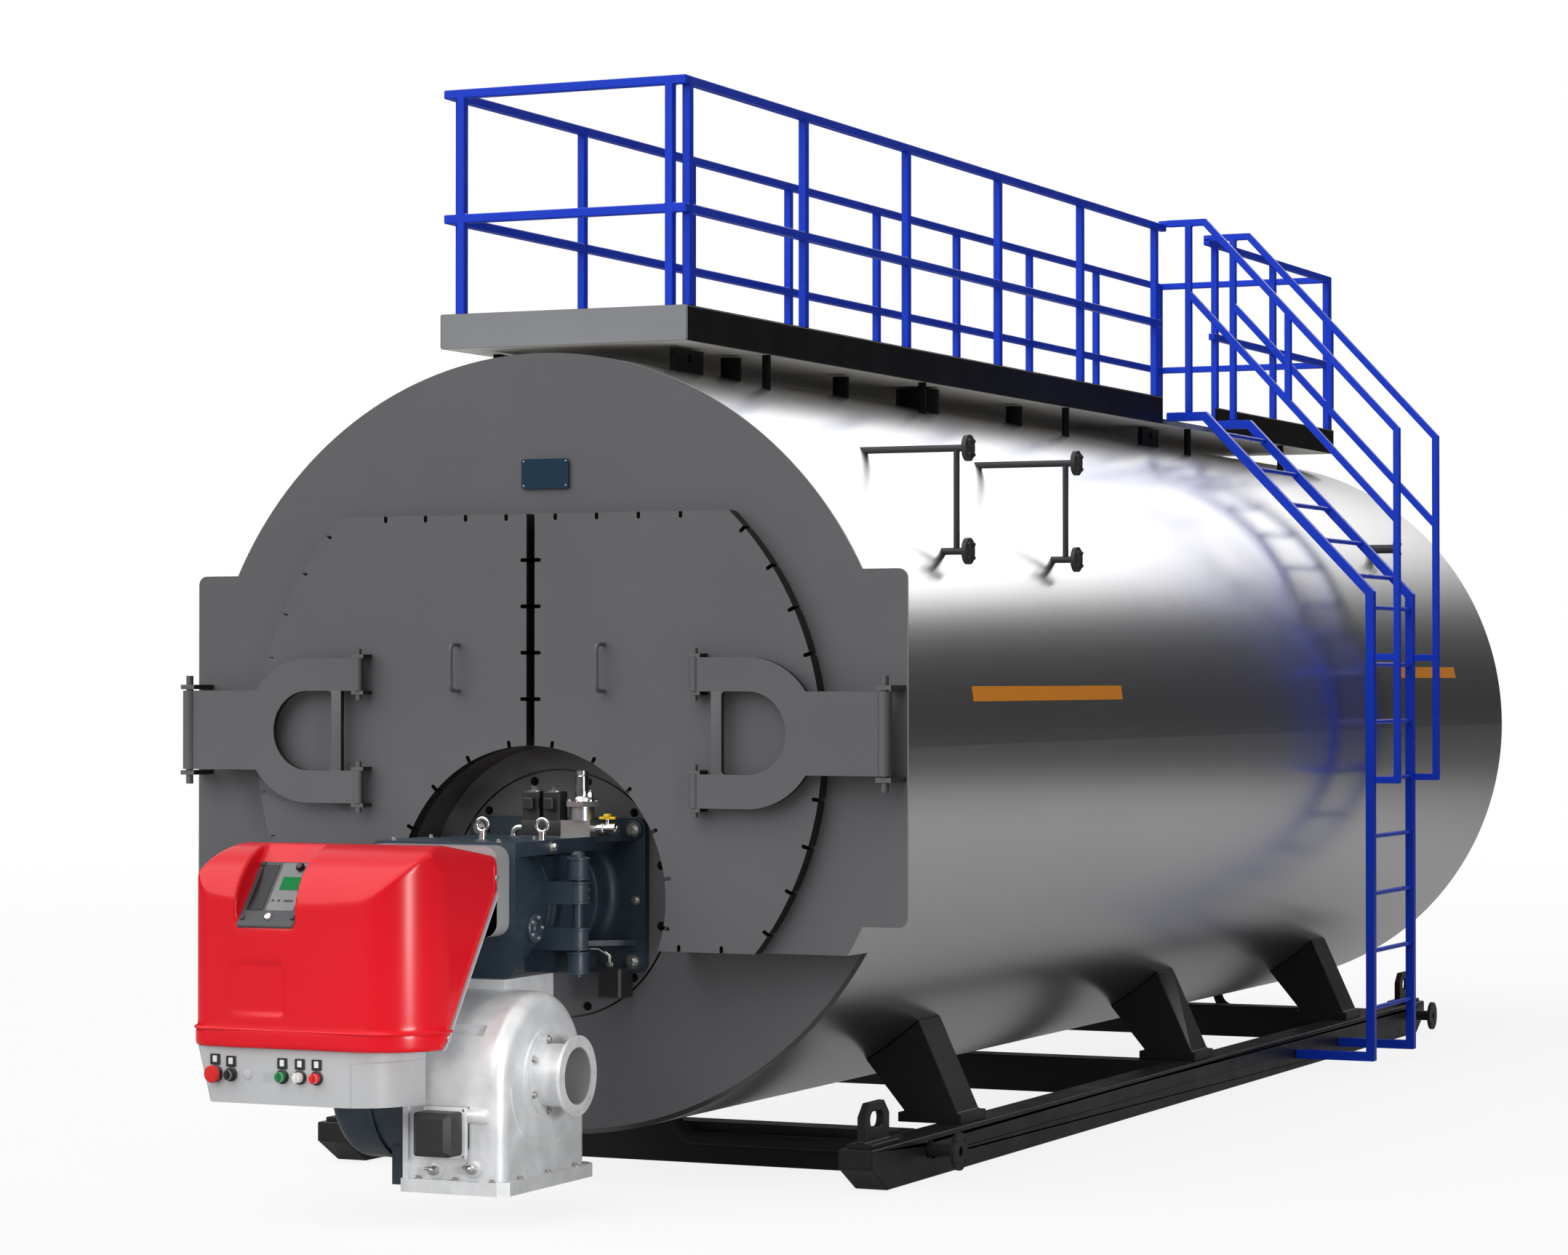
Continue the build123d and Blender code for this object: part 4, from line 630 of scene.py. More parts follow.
def dress_pilot_train():
    """Black coils on a valve block, nuts, regulator bolts and caps, and a valve with a yellow handle."""
    y = (train_low.y + train_high.y) / 2
    top = DECK_TOP + TRAIN_BLOCK
    coils, nuts = bmesh.new(), bmesh.new()
    low = Vector((SOLENOIDS[0], y, DECK_TOP)) - VALVE_BLOCK
    high = Vector((SOLENOIDS[1], y, top + VALVE_BLOCK_PROUD)) + VALVE_BLOCK
    add_box(coils, low, high, VALVE_BLOCK_EDGE)
    for x in SOLENOIDS:
        foot = Vector((x, y, top))
        add_plate(coils, Matrix.Translation(foot), *COIL)
        add_plate(coils, facing(foot + COIL_PLUG_PLACE, FRONT), *COIL_PLUG)
        add_bolt(nuts, foot + COIL[2] * Z, Z, COIL_NUT)
    make("solenoid_coils", coils, "boiler", "servo_black")

    regulator = Vector((REGULATOR_X, y, top + REGULATOR_TOP))
    add_bolt_circle(nuts, regulator, Z, *REGULATOR_BOLTS, phase=0.5)
    add_lathe(nuts, regulator, Z, SPRING_CAP, 32)
    add_lathe(nuts, regulator + VENT_PLACE, Z, VENT, 20)
    pipe = Vector((train_high.x, y, DECK_TOP + TRAIN_BLOCK / 2))
    add_lathe(nuts, pipe - VALVE_INSET * X, X, VALVE)
    stem = pipe + STEM_PLACE
    add_lathe(nuts, stem, Z, ((0.009, 0), (0.009, 0.024), (0, 0.024)), 16)
    make("train_nuts_and_valve", nuts, "boiler", "cast_silver", chrome)

    bm = bmesh.new()
    for low, high, edge in HANDLE:
        add_box(bm, stem + Vector(low), stem + Vector(high), edge)
    make("valve_handle", bm, "boiler", "cover_red", yellow_plastic)


# Moulded cover and its window

COVER_BOW = 0.018
COVER_CORNER = 0.28
COVER_LEFT_CORNER = 0.12
COVER_CORNER_STEPS = 12
SLOPE_TOP = 0.618
SLOPE_LENGTH = 0.45
LIP_HEIGHT = 0.074
BEAD_RADIUS = 0.006
BEAD_INSETS = (0.004, 0.008)
BEAD_FOOT = Vector((0, -0.03, 0.012))
BEAD_HEAD = Vector((0, -0.035, 0))
BEAD_RISE = 0.1
REAR_PLATE_GAP = 0.004
REAR_PLATE = (0.012, 0.02, 0.002)
LOW_SCREW = Vector((-0.003, -6.135, 0.045))
HIGH_SCREW = Vector((-0.008, -0.018, 0.67))
COVER_SCREW = 0.013
WINDOW_LEFT = -0.557
WINDOW_RIGHT = -0.28
WINDOW_FOOT = 0.474
WINDOW_RISE = 0.345
WINDOW_REACH = 0.27
# Places on the window are up its slope, across it and off it
WINDOW_PLATES = (
    ("window_frame", (0.175, 0, -0.004), (0.268, 0.32, 0.014, 0.012, 0.004), "servo_black", window_grey),
    ("window_pane", (0.205, -0.074, 0.006), (0.078, 0.225, 0.006, 0.006, 0.002), "servo_black", dark_glass),
    ("instrument_plate", (0.21, 0.044, 0.006), (0.132, 0.235, 0.007, 0.006, 0.002), "panel_grey",
     instrument_grey),
    ("display", (0.225, 0.05, 0.012), (0.09, 0.064, 0.003, 0.003, 0.001), "servo_black", display_green),
)
DIAL_PLACE = (0.3, 0.07, 0.012)
DIAL = {"radius": 0.016, "lobes": 8, "depth": 0.024}
KEYS = (((0.14, -0.004, 0.012), 0.012), ((0.14, 0.024, 0.012), 0.012), ((0.14, 0.068, 0.012), 0.04))
KEY = (0.01, 0.003, 0.003, 0.001)
CLIP_PLACES = ((0.055, -0.115, 0.008), (0.06, 0.118, 0.008), (0.32, -0.115, 0.008))
CLIP = (0.018, 0.02, 0.008, 0.003, 0.002)
LOCK_PLACE = (0.062, 0.004, 0.008)
LOCK = ((0.017, 0), (0.017, 0.006), (0.013, 0.012), (0.006, 0.014), (0, 0.014))


def cover_outline():
    """Plan of the cover's lip, from its right rear end round the bowed front to its left rear end."""
    left, right, nose = cover_low.x, cover_high.x, cover_low.y
    middle = (left + right) / 2
    bow_radius = ((right - middle) ** 2 + COVER_BOW**2) / (2 * COVER_BOW)
    rear = cover_high.y - SLOPE_LENGTH * (1 - LIP_HEIGHT / SLOPE_TOP)
    points = [(right, rear)]
    corners = ((COVER_CORNER, right - COVER_CORNER), (COVER_LEFT_CORNER, left + COVER_LEFT_CORNER))
    for k, (radius, x) in enumerate(corners):
        y = nose + bow_radius - sqrt((bow_radius - radius) ** 2 - (x - middle) ** 2)
        tangent = (x - middle) / (bow_radius - radius) - pi / 2
        start, end = (0, tangent) if k == 0 else (tangent, -pi)
        angles = spaced(start, end, COVER_CORNER_STEPS)
        points += [(x + radius * cos(a), y + radius * sin(a)) for a in angles]
    points.append((left, rear))
    return points


def window_place(along, across, lift):
    """Matrix of a place on the window's slanting flat: up its slope, across it, and off it."""
    slope = Vector((0, WINDOW_REACH, WINDOW_RISE)).normalized()
    normal = X.cross(slope)
    foot = Vector(((WINDOW_LEFT + WINDOW_RIGHT) / 2, cover_low.y, cover_low.z + WINDOW_FOOT))
    turn = Matrix((X, slope, normal)).transposed().to_4x4()
    return Matrix.Translation(foot + along * slope + across * X + lift * normal) @ turn


def dress_cover():
    """Softens the moulding's edges and adds its beads, rear plate and screws."""
    node = nodes["burner_cover"]
    node.modifiers.new("join", "WELD").merge_threshold = WELD_REACH
    remesh = node.modifiers.new("even", "REMESH")
    remesh.mode = "VOXEL"
    remesh.voxel_size = 0.008
    remesh.use_smooth_shade = True
    soften = node.modifiers.new("soften", "SMOOTH")
    soften.factor = 0.5
    soften.iterations = 14

    left, right, rear, base = cover_low.x, cover_high.x, cover_high.y, cover_low.z
    slope = Vector((0, SLOPE_LENGTH, SLOPE_TOP))
    bm = bmesh.new()
    add_tube(bm, [(x, y, base + LIP_HEIGHT) for x, y in cover_outline()], BEAD_RADIUS, 10)
    for x in (left + BEAD_INSETS[0], right - BEAD_INSETS[1]):
        top = Vector((x, rear, base + SLOPE_TOP))
        head = top + BEAD_HEAD
        add_tube(bm, (top - slope + BEAD_FOOT, head, head + BEAD_RISE * Z), BEAD_RADIUS, 10)
    make("cover_beads", bm, "burner", "cover_red")

    bm = bmesh.new()
    normal = X.cross(slope.normalized())
    middle = Vector(((left + right) / 2, rear, base + SLOPE_TOP)) - slope / 2
    turn = Matrix((-X, slope.normalized(), -normal)).transposed().to_4x4()
    width = right - left - REAR_PLATE_GAP
    add_plate(bm, Matrix.Translation(middle) @ turn, width, slope.length, *REAR_PLATE)
    make("cover_rear_plate", bm, "burner", "panel_grey")

    bm = bmesh.new()
    add_screw(bm, Vector((right, 0, base)) + LOW_SCREW, X, COVER_SCREW)
    add_screw(bm, Vector((right, rear, base)) + HIGH_SCREW, X, COVER_SCREW)
    make("cover_screws", bm, "burner", "cast_silver", chrome)


def dress_window():
    """Control window: frame, dark pane, instrument plate with a display, dial, keys and a lock button."""
    for name, place, size, slot, finish in WINDOW_PLATES:
        bm = bmesh.new()
        add_plate(bm, window_place(*place), *size)
        make(name, bm, "burner", slot, finish)
    bm = bmesh.new()
    dial = window_place(*DIAL_PLACE)
    normal = dial.to_3x3() @ Z
    add_lobed_knob(bm, dial.translation, normal, **DIAL)
    for place, width in KEYS:
        add_plate(bm, window_place(*place), width, *KEY)
    for place in CLIP_PLACES:
        add_plate(bm, window_place(*place), *CLIP)
    make("window_keys", bm, "burner", "servo_black")
    bm = bmesh.new()
    add_lathe(bm, window_place(*LOCK_PLACE).translation, normal, LOCK)
    make("window_lock", bm, "burner", "cast_silver", chrome)


# Box behind the cover, and the button tray

BOX_RIGHT = 0.3
BOX_INSET = 0.03
BOX_DROP = 0.012
BOX_HEIGHT = 0.374
BOX_CORNER = 0.06
BOX_SKIN = 0.0008
TRAY_RIGHT_INSET = 0.15
TRAY_CORNER = 0.23
TRAY_REAR = -6.057
LINE_DROP = 0.045
LINE_RADIUS = 0.0025
LINE_LIFT = 0.002
LINE_ARC = (-75, 0, 12)
BUTTON_LIFT = 0.115
BUTTON_REACH = 0.034
BUTTONS = ((-0.665, 0.026, "red"), (-0.590, 0.02, "black"), (-0.349, 0.02, "green"), (-0.267, 0.02, "white"),
           (-0.189, 0.02, "red"))
# Collars and caps grow from the button's radius, and the grip is half its width, its reach and its edge
BUTTON_COLLAR = ((0.009, 0), (0.009, 0.006), (0.004, 0.01), (0, 0.01))
BUTTON_CAP = ((0.001, 0), (0.001, 0.03), (-0.003, 0.036))
BUTTON_TOP = ((0, 0.037),)
MUSHROOM_CAP = ((0.001, 0), (0.001, 0.016))
MUSHROOM_TOP = ((0.034, 0.02), (0.036, 0.03), (0.03, 0.039), (0, 0.042))
GRIP = (0.005, (-0.044, -0.03), 0.003)
HOLDER_PLACE = Vector((0, 0, 0.032))
HOLDER = (0.046, 0.044, 0.005, 0.004, 0.0015)
TAG_PLACE = Vector((0, -0.0045, 0.034))
TAG = (0.02, 0.026, 0.002, 0.002, 0.0005)
BLANK_PLUG_X = -0.513
BLANK_PLUG = ((0.02, 0), (0.02, 0.002), (0.017, 0.004), (0, 0.004))


def dress_back_box():
    """Galvanised sheet round the box behind the cover."""
    left, right = body_low.x + BOX_INSET, BOX_RIGHT - BOX_INSET
    width, height = right - left + 2 * BOX_SKIN, BOX_HEIGHT + 2 * BOX_SKIN
    z = DECK_TOP - BOX_DROP - BOX_HEIGHT / 2
    place = facing(((left + right) / 2, body_low.y, z), FRONT)
    bm = bmesh.new()
    add_plate(bm, place, width, height, body_low.y - cover_high.y, BOX_CORNER)
    make("back_box_sheet", bm, "burner", "panel_grey", box_grey)


def dress_tray():
    """A panel line, coloured button caps with collars, label holders with blank tags, and a blank plug."""
    face = tray_low.y + BUTTON_REACH
    line_z = cover_low.z - LINE_DROP
    corner = Vector((cover_high.x - TRAY_RIGHT_INSET - TRAY_CORNER, face + TRAY_CORNER, line_z))
    bend = [corner + turned(TRAY_CORNER, radians(a), 0) for a in spaced(*LINE_ARC)]
    start = Vector((bend[0].x, bend[0].y, tray_low.z + LINE_LIFT))
    end = Vector((bend[-1].x, TRAY_REAR, line_z))
    bm = bmesh.new()
    add_tube(bm, [start, *bend, end], LINE_RADIUS, 8)
    make("tray_panel_line", bm, "burner", "panel_grey")

    z = tray_low.z + BUTTON_LIFT
    colours = {"red": red_plastic, "green": green_plastic, "white": white_plastic}
    half, (far, near), edge = GRIP
    collars, tags = bmesh.new(), bmesh.new()
    for i, (x, radius, colour) in enumerate(BUTTONS):
        place = Vector((x, face, z))
        add_lathe(collars, place, FRONT, grown(BUTTON_COLLAR, radius), 28)
        cap = bmesh.new()
        if i == 0:
            profile = (*grown(MUSHROOM_CAP, radius), *MUSHROOM_TOP)
        else:
            profile = (*grown(BUTTON_CAP, radius), *BUTTON_TOP)
            add_box(cap, place + Vector((-half, far, -radius)), place + Vector((half, near, radius)), edge)
        add_lathe(cap, place, FRONT, profile, 32)
        slot = "cover_red" if colour == "red" else "servo_black"
        make(f"button_{i + 1}", cap, "burner", slot, colours.get(colour))
        top = place + radius * Z
        add_plate(collars, facing(top + HOLDER_PLACE, FRONT), *HOLDER)
        add_plate(tags, facing(top + TAG_PLACE, FRONT), *TAG)
    make("button_collars", collars, "burner", "servo_black")
    make("button_tags", tags, "burner", "panel_grey", white_plastic)
    bm = bmesh.new()
    add_lathe(bm, Vector((BLANK_PLUG_X, face, z)), FRONT, BLANK_PLUG, 28)
    make("blank_plug", bm, "burner", "panel_grey")


# Fan, air intake and damper servo

FAN_RIGHT = 0.47
FAN_FRONT = -6.03
INTAKE_BOLTS = (0.145, 6, 0.018)
INTAKE_RING = 0.012
FAN_RIM = ((0.19, 0), (0.187, 0.006), (0.166, 0.008), (0.166, 0))
FAN_LINE = 0.3
FAN_LINE_RADIUS = 0.004
FAN_LINE_ARC = (185, 295, 24)
FAN_BOSS_PLACE = Vector((0.31, FAN_FRONT, 0.455))
FAN_BOSS = ((0, 0), (0.03, 0.0), (0.03, 0.08), (0.022, 0.095), (0, 0.1))
TAPS = ((0.168, 0.23), (0.342, 0.242))
TAP_BOSS = ((0.034, 0), (0.034, 0.008), (0.028, 0.012), (0, 0.012))
TAP = ((0.02, 0), (0.02, 0.03), (0.014, 0.034), (0.014, 0.048), (0.008, 0.052), (0, 0.052))
SPOUT_PLACE = Vector((-0.02, -0.02, 0.006))
SPOUT = ((0.008, 0), (0.008, 0.02), (0, 0.022))
BASE_LIFT = 0.055
BASE_BOLT = 0.018
FRONT_BOLT_XS = (0.09, 0.26, 0.43)
FRONT_BOLT_INSET = 0.016
SIDE_BOLT_YS = (-5.9, -5.66, -5.42)
SIDE_BOLT_INSET = 0.015
LINER_RADIUS = 0.1172
LINER_WALL = 0.003
LINER_DEPTH = 0.13
SERVO_COLLAR = 0.035
SERVO_COLLAR_GAP = 0.012
SERVO_COLLAR_EDGE = 0.003
SERVO_DROP = 0.04
SERVO_MARGIN = 0.014
SERVO_CORNER = 0.014
SERVO_BEVEL = 0.024
SERVO_PROUD = 0.004
SERVO_SKIN = 0.001
SERVO_SCREW = 0.006
SERVO_SCREW_INSET = (0.007, 0.009)


def dress_fan():
    """Intake bolts, a liner whose darker grey is painted shade in the bore, pressure taps, a cast boss, a
    moulding line and base bolts.
    """
    centre = Vector((FAN_RIGHT, (intake_low.y + intake_high.y) / 2, (intake_low.z + intake_high.z) / 2))
    bolts, silver = bmesh.new(), bmesh.new()
    add_bolt_circle(bolts, centre + INTAKE_RING * X, X, *INTAKE_BOLTS, phase=0.5)
    add_lathe(silver, centre, X, FAN_RIM, 48)
    angles = [radians(a) for a in spaced(*FAN_LINE_ARC)]
    add_tube(silver, [centre + FAN_LINE * Vector((0, cos(a), sin(a))) for a in angles], FAN_LINE_RADIUS, 8)
    add_lathe(silver, FAN_BOSS_PLACE, X, FAN_BOSS)
    for x, z in TAPS:
        tap = Vector((x, FAN_FRONT, z))
        add_lathe(silver, tap, FRONT, TAP_BOSS, 28)
        add_lathe(bolts, tap, FRONT, TAP, 12)
        add_lathe(bolts, tap + SPOUT_PLACE, -X, SPOUT, 12)
    places = [(x, fan_low.y + FRONT_BOLT_INSET) for x in FRONT_BOLT_XS]
    places += [(fan_high.x - SIDE_BOLT_INSET, y) for y in SIDE_BOLT_YS]
    for x, y in places:
        add_bolt(bolts, Vector((x, y, fan_low.z + BASE_LIFT)), Z, BASE_BOLT)
    make("fan_mouldings", silver, "burner", "cast_silver")

    # The liner inside the intake is darker grey as painted shade in the bore
    bm = bmesh.new()
    outer, wall = LINER_RADIUS, LINER_WALL
    inner, reach = outer - wall, LINER_DEPTH + intake_high.x - FAN_RIGHT - wall
    profile = ((0, 0), (outer, 0), (outer, reach), (inner, reach), (inner, wall), (0, wall))
    add_lathe(bm, centre - LINER_DEPTH * X, X, profile, 48)
    make("intake_liner_painted_shade", bm, "burner", "cast_silver", liner_painted_shade)
    make("fan_bolts_and_taps", bolts, "burner", "cast_silver", zinc)


def dress_servo():
    """Collar, housing and screws of the damper servo."""
    left, right, top, foot = servo_low.x, servo_high.x, servo_high.z, servo_low.z - SERVO_DROP
    back = FAN_FRONT - SERVO_COLLAR
    skin = SERVO_SKIN * (X + Z)
    bm = bmesh.new()
    low = Vector((left, back - SERVO_SKIN, foot)) - skin
    high = Vector((right, FAN_FRONT - SERVO_COLLAR_GAP, top)) + skin
    add_box(bm, low, high, SERVO_COLLAR_EDGE)
    make("servo_collar", bm, "burner", "cast_silver")
    bm = bmesh.new()
    middle = Vector(((left + right) / 2, back, (foot + top) / 2))
    wide, tall = right - left - 2 * SERVO_MARGIN, top - foot - 2 * SERVO_MARGIN
    depth = back - servo_low.y + SERVO_PROUD
    add_plate(bm, facing(middle, FRONT), wide, tall, depth, SERVO_CORNER, SERVO_BEVEL)
    make("servo_housing", bm, "burner", "servo_black")
    bm = bmesh.new()
    across, down = SERVO_SCREW_INSET
    for x in (left + across, right - across):
        for z in (foot + down, top - down):
            add_screw(bm, Vector((x, back - SERVO_SKIN, z)), FRONT, SERVO_SCREW)
    make("servo_screws", bm, "burner", "cast_silver", zinc)


# Front and jacket

NAME_PLATE_PLACE = Vector((0.036, -4.852, 3.1))
NAME_PLATE = (0.23, 0.13, 0.003, 0.008, 0.001)
RIVET_INSET = 0.012
TUBE_PITCH = 0.098
TUBE_RADIUS = 0.034
TUBE_BORE = 0.8 * TUBE_RADIUS
TUBE_END = ((TUBE_RADIUS, 0), (TUBE_RADIUS, 0.006), (TUBE_BORE, 0.008), (TUBE_BORE, 0.001))
# Black discs just inside the tube ends: painted shade in the tubes' hollows
TUBE_BORE_SHADE = (TUBE_END[-1], (0, 0.001))
TUBE_FIELD = 1.28
THROAT_RADIUS = 0.71
SMOKE_BOX_FLOOR = 1.1
ARM_WEB = (0.082, 0.131)
ARM_SLEEVE_RADIUS = 0.021
ARM_BAR_HALF = 0.175
ARM_PLATE = 0.028
ARM_SKIN = 0.0004
ARM_EDGE = 0.0015
STRIPES = ((-4.0, -2.08, 2.147), (2.75, 4.06, 2.25))
STRIPE_HEIGHT = 0.066
STRIPE_LIFT = 0.0015
STRIPE_ROWS = 6
STRIPE_COLUMNS = 8


def dress_front():
    """Bare name plate with rivets, and the tube ends behind the doors, each closed by a black disc that is
    painted shade in its hollow.
    """
    width, height, depth = NAME_PLATE[:3]
    bm = bmesh.new()
    add_plate(bm, facing(NAME_PLATE_PLACE, FRONT), *NAME_PLATE)
    make("bare_plate", bm, "boiler", "stainless", plate_blue)
    bm = bmesh.new()
    for x in (-1, 1):
        for z in (-1, 1):
            corner = Vector((x * (width / 2 - RIVET_INSET), -depth, z * (height / 2 - RIVET_INSET)))
            add_lathe(bm, NAME_PLATE_PLACE + corner, FRONT, ((0.005, 0), (0.004, 0.002), (0, 0.003)), 12)
    make("plate_rivets", bm, "boiler", "stainless", chrome)

    rings, bore_shades = bmesh.new(), bmesh.new()
    count = int(TUBE_FIELD / TUBE_PITCH)
    for row in range(-count, count + 1):
        for column in range(-count, count + 1):
            x = (column + 0.5 * (row % 2)) * TUBE_PITCH
            z = AXIS_Z + row * TUBE_PITCH * sin(pi / 3)
            near_throat = hypot(x, z - BURNER_Z) < THROAT_RADIUS + TUBE_RADIUS
            if z < SMOKE_BOX_FLOOR or near_throat or hypot(x, z - AXIS_Z) > TUBE_FIELD:
                continue
            origin = Vector((x, end_low.y, z))
            add_lathe(rings, origin, FRONT, TUBE_END, 16)
            add_lathe(bore_shades, origin, FRONT, TUBE_BORE_SHADE, 16)
    make("tube_ends", rings, "boiler", "bare_steel")
    make("tube_bore_shades", bore_shades, "boiler", "black_paint")


def dress_arms():
    """Tie bars between the tines of the door arms, which mirror each other."""
    half = ARM_PLATE / 2 + ARM_SKIN
    for body, side in (("right_door", 1), ("left_door", -1)):
        low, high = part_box("right_arm")
        tine, middle = low.x + ARM_SLEEVE_RADIUS, (low.y + high.y) / 2
        z = (low.z + high.z) / 2
        left, right = sorted(side * (tine + reach) for reach in ARM_WEB)
        bottom = (left, middle - half, z - ARM_BAR_HALF)
        bm = bmesh.new()
        add_box(bm, bottom, (right, middle + half, z + ARM_BAR_HALF), ARM_EDGE)
        # Painted shade on the tie bars' narrow edges
        make(f"{body}_arm_tie", bm, body, "grey_paint", painted_shade_edges)


def dress_jacket():
    """Two plain orange stripes on the jacket's right side."""
    bm = bmesh.new()
    radius = JACKET_RADIUS + STRIPE_LIFT
    for start, end, middle in STRIPES:
        rows = []
        for z in spaced(middle - STRIPE_HEIGHT / 2, middle + STRIPE_HEIGHT / 2, STRIPE_ROWS):
            x = sqrt(radius**2 - (z - AXIS_Z) ** 2)
            rows.append([bm.verts.new((x, y, z)) for y in spaced(start, end, STRIPE_COLUMNS)])
        for low, high in zip(rows, rows[1:]):
            for k in range(STRIPE_COLUMNS):
                bm.faces.new((low[k], low[k + 1], high[k + 1], high[k]))
    make("orange_stripes", bm, "boiler", "cover_red", orange_paint)


# Fittings, rear, stair and deck

GAUGE_FLANGES = [Vector((1.6, y, z)) for y in (-3.81, -2.44) for z in (3.23, 2.775)]
NOZZLE_PLACE = (3.43, 3.0)
BLIND_BOLTS = (0.042, 4, 0.016)
COVER_FACE = 0.04
INSPECTION_DROP = 0.76
INSPECTION_BOLTS = (0.25, 12, 0.026)
REAR_GRIP = ((-0.1, 0), (-0.1, 0.05), (-0.085, 0.062), (0.085, 0.062), (0.1, 0.05), (0.1, 0))
REAR_GRIP_RADIUS = 0.008
FLUE_BOLTS_ACROSS = 8
FLUE_BOLTS_DOWN = 5
FLUE_BOLT_INSET = 0.026
FLUE_BOLT = 0.018
JOINT_INSET = 0.001
JOINT_LAP = 0.015
LOZENGE = (0.017, 0.0055, 0.0018)
LOZENGE_TOP = 0.6
LOZENGE_PITCH = 0.06


def dress_fittings():
    """Bolts on the blind flanges of the level columns and the side nozzle."""
    bm = bmesh.new()
    nozzle_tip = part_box("side_nozzle")[1].x
    for place in (*GAUGE_FLANGES, Vector((nozzle_tip, *NOZZLE_PLACE))):
        add_bolt_circle(bm, place, X, *BLIND_BOLTS, phase=0.5)
        add_lathe(bm, place, X, ((0.024, 0), (0.022, 0.004), (0, 0.005)), 20)
    make("flange_fasteners", bm, "boiler", "black_paint", pipe_paint_lit_copy)


def dress_rear():
    """Bolts and a lifting grip on the inspection cover, and bolts round the flue flange."""
    bm = bmesh.new()
    cover = Vector((0, jacket_high.y + COVER_FACE, AXIS_Z - INSPECTION_DROP))
    add_bolt_circle(bm, cover, Y, *INSPECTION_BOLTS)
    add_tube(bm, [cover + Vector((x, y, 0)) for x, y in REAR_GRIP], REAR_GRIP_RADIUS)
    flue_low, flue_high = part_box("flue_outlet")
    low = flue_low + FLUE_BOLT_INSET * (X + Z)
    high = flue_high - FLUE_BOLT_INSET * (X + Z)
    places = [(x, z) for x in spaced(low.x, high.x, FLUE_BOLTS_ACROSS) for z in (low.z, high.z)]
    places += [(x, z) for z in spaced(low.z, high.z, FLUE_BOLTS_DOWN)[1:-1] for x in (low.x, high.x)]
    for x, z in places:
        add_bolt(bm, Vector((x, flue_high.y, z)), Y, FLUE_BOLT)
    make("rear_fasteners", bm, "boiler", "black_paint")


def dress_stair():
    """Short bars that carry the platform's rails on to the stair's handrails."""
    bm = bmesh.new()
    inset = JOINT_INSET * Vector((1, 1, 1))
    for rail, handrail in (("rail_right", "handrail_near"), ("rail_right_rear", "handrail_far")):
        low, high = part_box(rail)
        start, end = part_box(handrail)
        bar, hand_bar = high.x - low.x, end.y - start.y
        ends = (high.y - JOINT_LAP, end.y) if start.y > high.y else (start.y, low.y + JOINT_LAP)
        along = Vector((low.x, ends[0], high.z - bar)), Vector((high.x, ends[1], high.z))
        across = Vector((low.x, start.y, end.z - hand_bar)), Vector((start.x + JOINT_LAP, end.y, end.z))
        for corner, opposite in (along, across):
            add_box(bm, corner + inset, opposite - inset, RAIL_EDGE - 2 * JOINT_INSET)
    make("rail_joints", bm, "boiler", "blue_paint")


def dress_deck():
    """Raised lozenges of the chequer plate on the platform."""
    low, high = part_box("platform_deck")
    length, width, height = LOZENGE
    outline = ((length, 0), (0, width), (-length, 0), (0, -width))
    bm = bmesh.new()
    columns = int((high.x - low.x) / LOZENGE_PITCH)
    rows = int((high.y - low.y) / LOZENGE_PITCH)
    for row in range(rows):
        for column in range(columns):
            x = low.x + (column + 0.5) * (high.x - low.x) / columns
            y = low.y + (row + 0.5) * (high.y - low.y) / rows
            turn = Matrix.Rotation(pi / 4 if (row + column) % 2 else -pi / 4, 4, "Z")
            place = Matrix.Translation((x, y, high.z)) @ turn
            rings = []
            for gain, z in ((1, 0), (LOZENGE_TOP, height)):
                rings.append([bm.verts.new(place @ Vector((gain * a, gain * b, z))) for a, b in outline])
            join_rings(bm, rings)
            bm.faces.new(rings[1])
    make("chequer_lozenges", bm, "boiler", "deck_steel")


dress_burner_mount()
dress_burner_body()
dress_pilot_train()
dress_cover()
dress_window()
dress_back_box()
dress_tray()
dress_fan()
dress_servo()
dress_front()
dress_arms()
dress_jacket()
dress_fittings()
dress_rear()
dress_stair()
dress_deck()


# Stage: pale floor, soft lamps, pieces that show in reflections alone, and the camera

STAGE_SEGMENTS = 96
FLOOR_RADIUS = 400.0
# Values near the boiler and far from it, as (metres, value)
FLOOR_WHITE = ((7.0, 0.86), (32.0, 1.0))
CARD_SHADE = ((5.0, 0.27), (24.0, 0.02))
CARD_GLOW = ((5.0, 0.19), (24.0, 0.0))
CARD_RADIUS = 130.0
CARD_LIFT = 0.003
FLAG_RADIUS = 130.0
FLAG_HEIGHT = 43.0
FLAG_NOISE = (0.2, 3)
FLAG_SHADES = (0.8, 1.2)
SCREEN_SIDE = 95.0
SCREEN_Y = 120.0
SCREEN_FOOT = 40.3
SCREEN_TOP = 100.0
WHITE = (1, 1, 1, 1)
WORLD_LIGHT = 0.28
SUN_FROM = Vector((-0.45, -0.75, 0.75))
FILL_FROM = Vector((5.9, -9.1, 1.4))
FILL_TO = Vector((0.1, -5.75, 0.85))


def seen_rays(tree):
    """Factor of 1 for rays that show the background: camera, glossy and transmission rays."""
    path = add_node(tree, "ShaderNodeLightPath")
    both = add_math(tree, "MAXIMUM", path.outputs["Is Camera Ray"], path.outputs["Is Glossy Ray"])
    return add_math(tree, "MAXIMUM", both, path.outputs["Is Transmission Ray"])


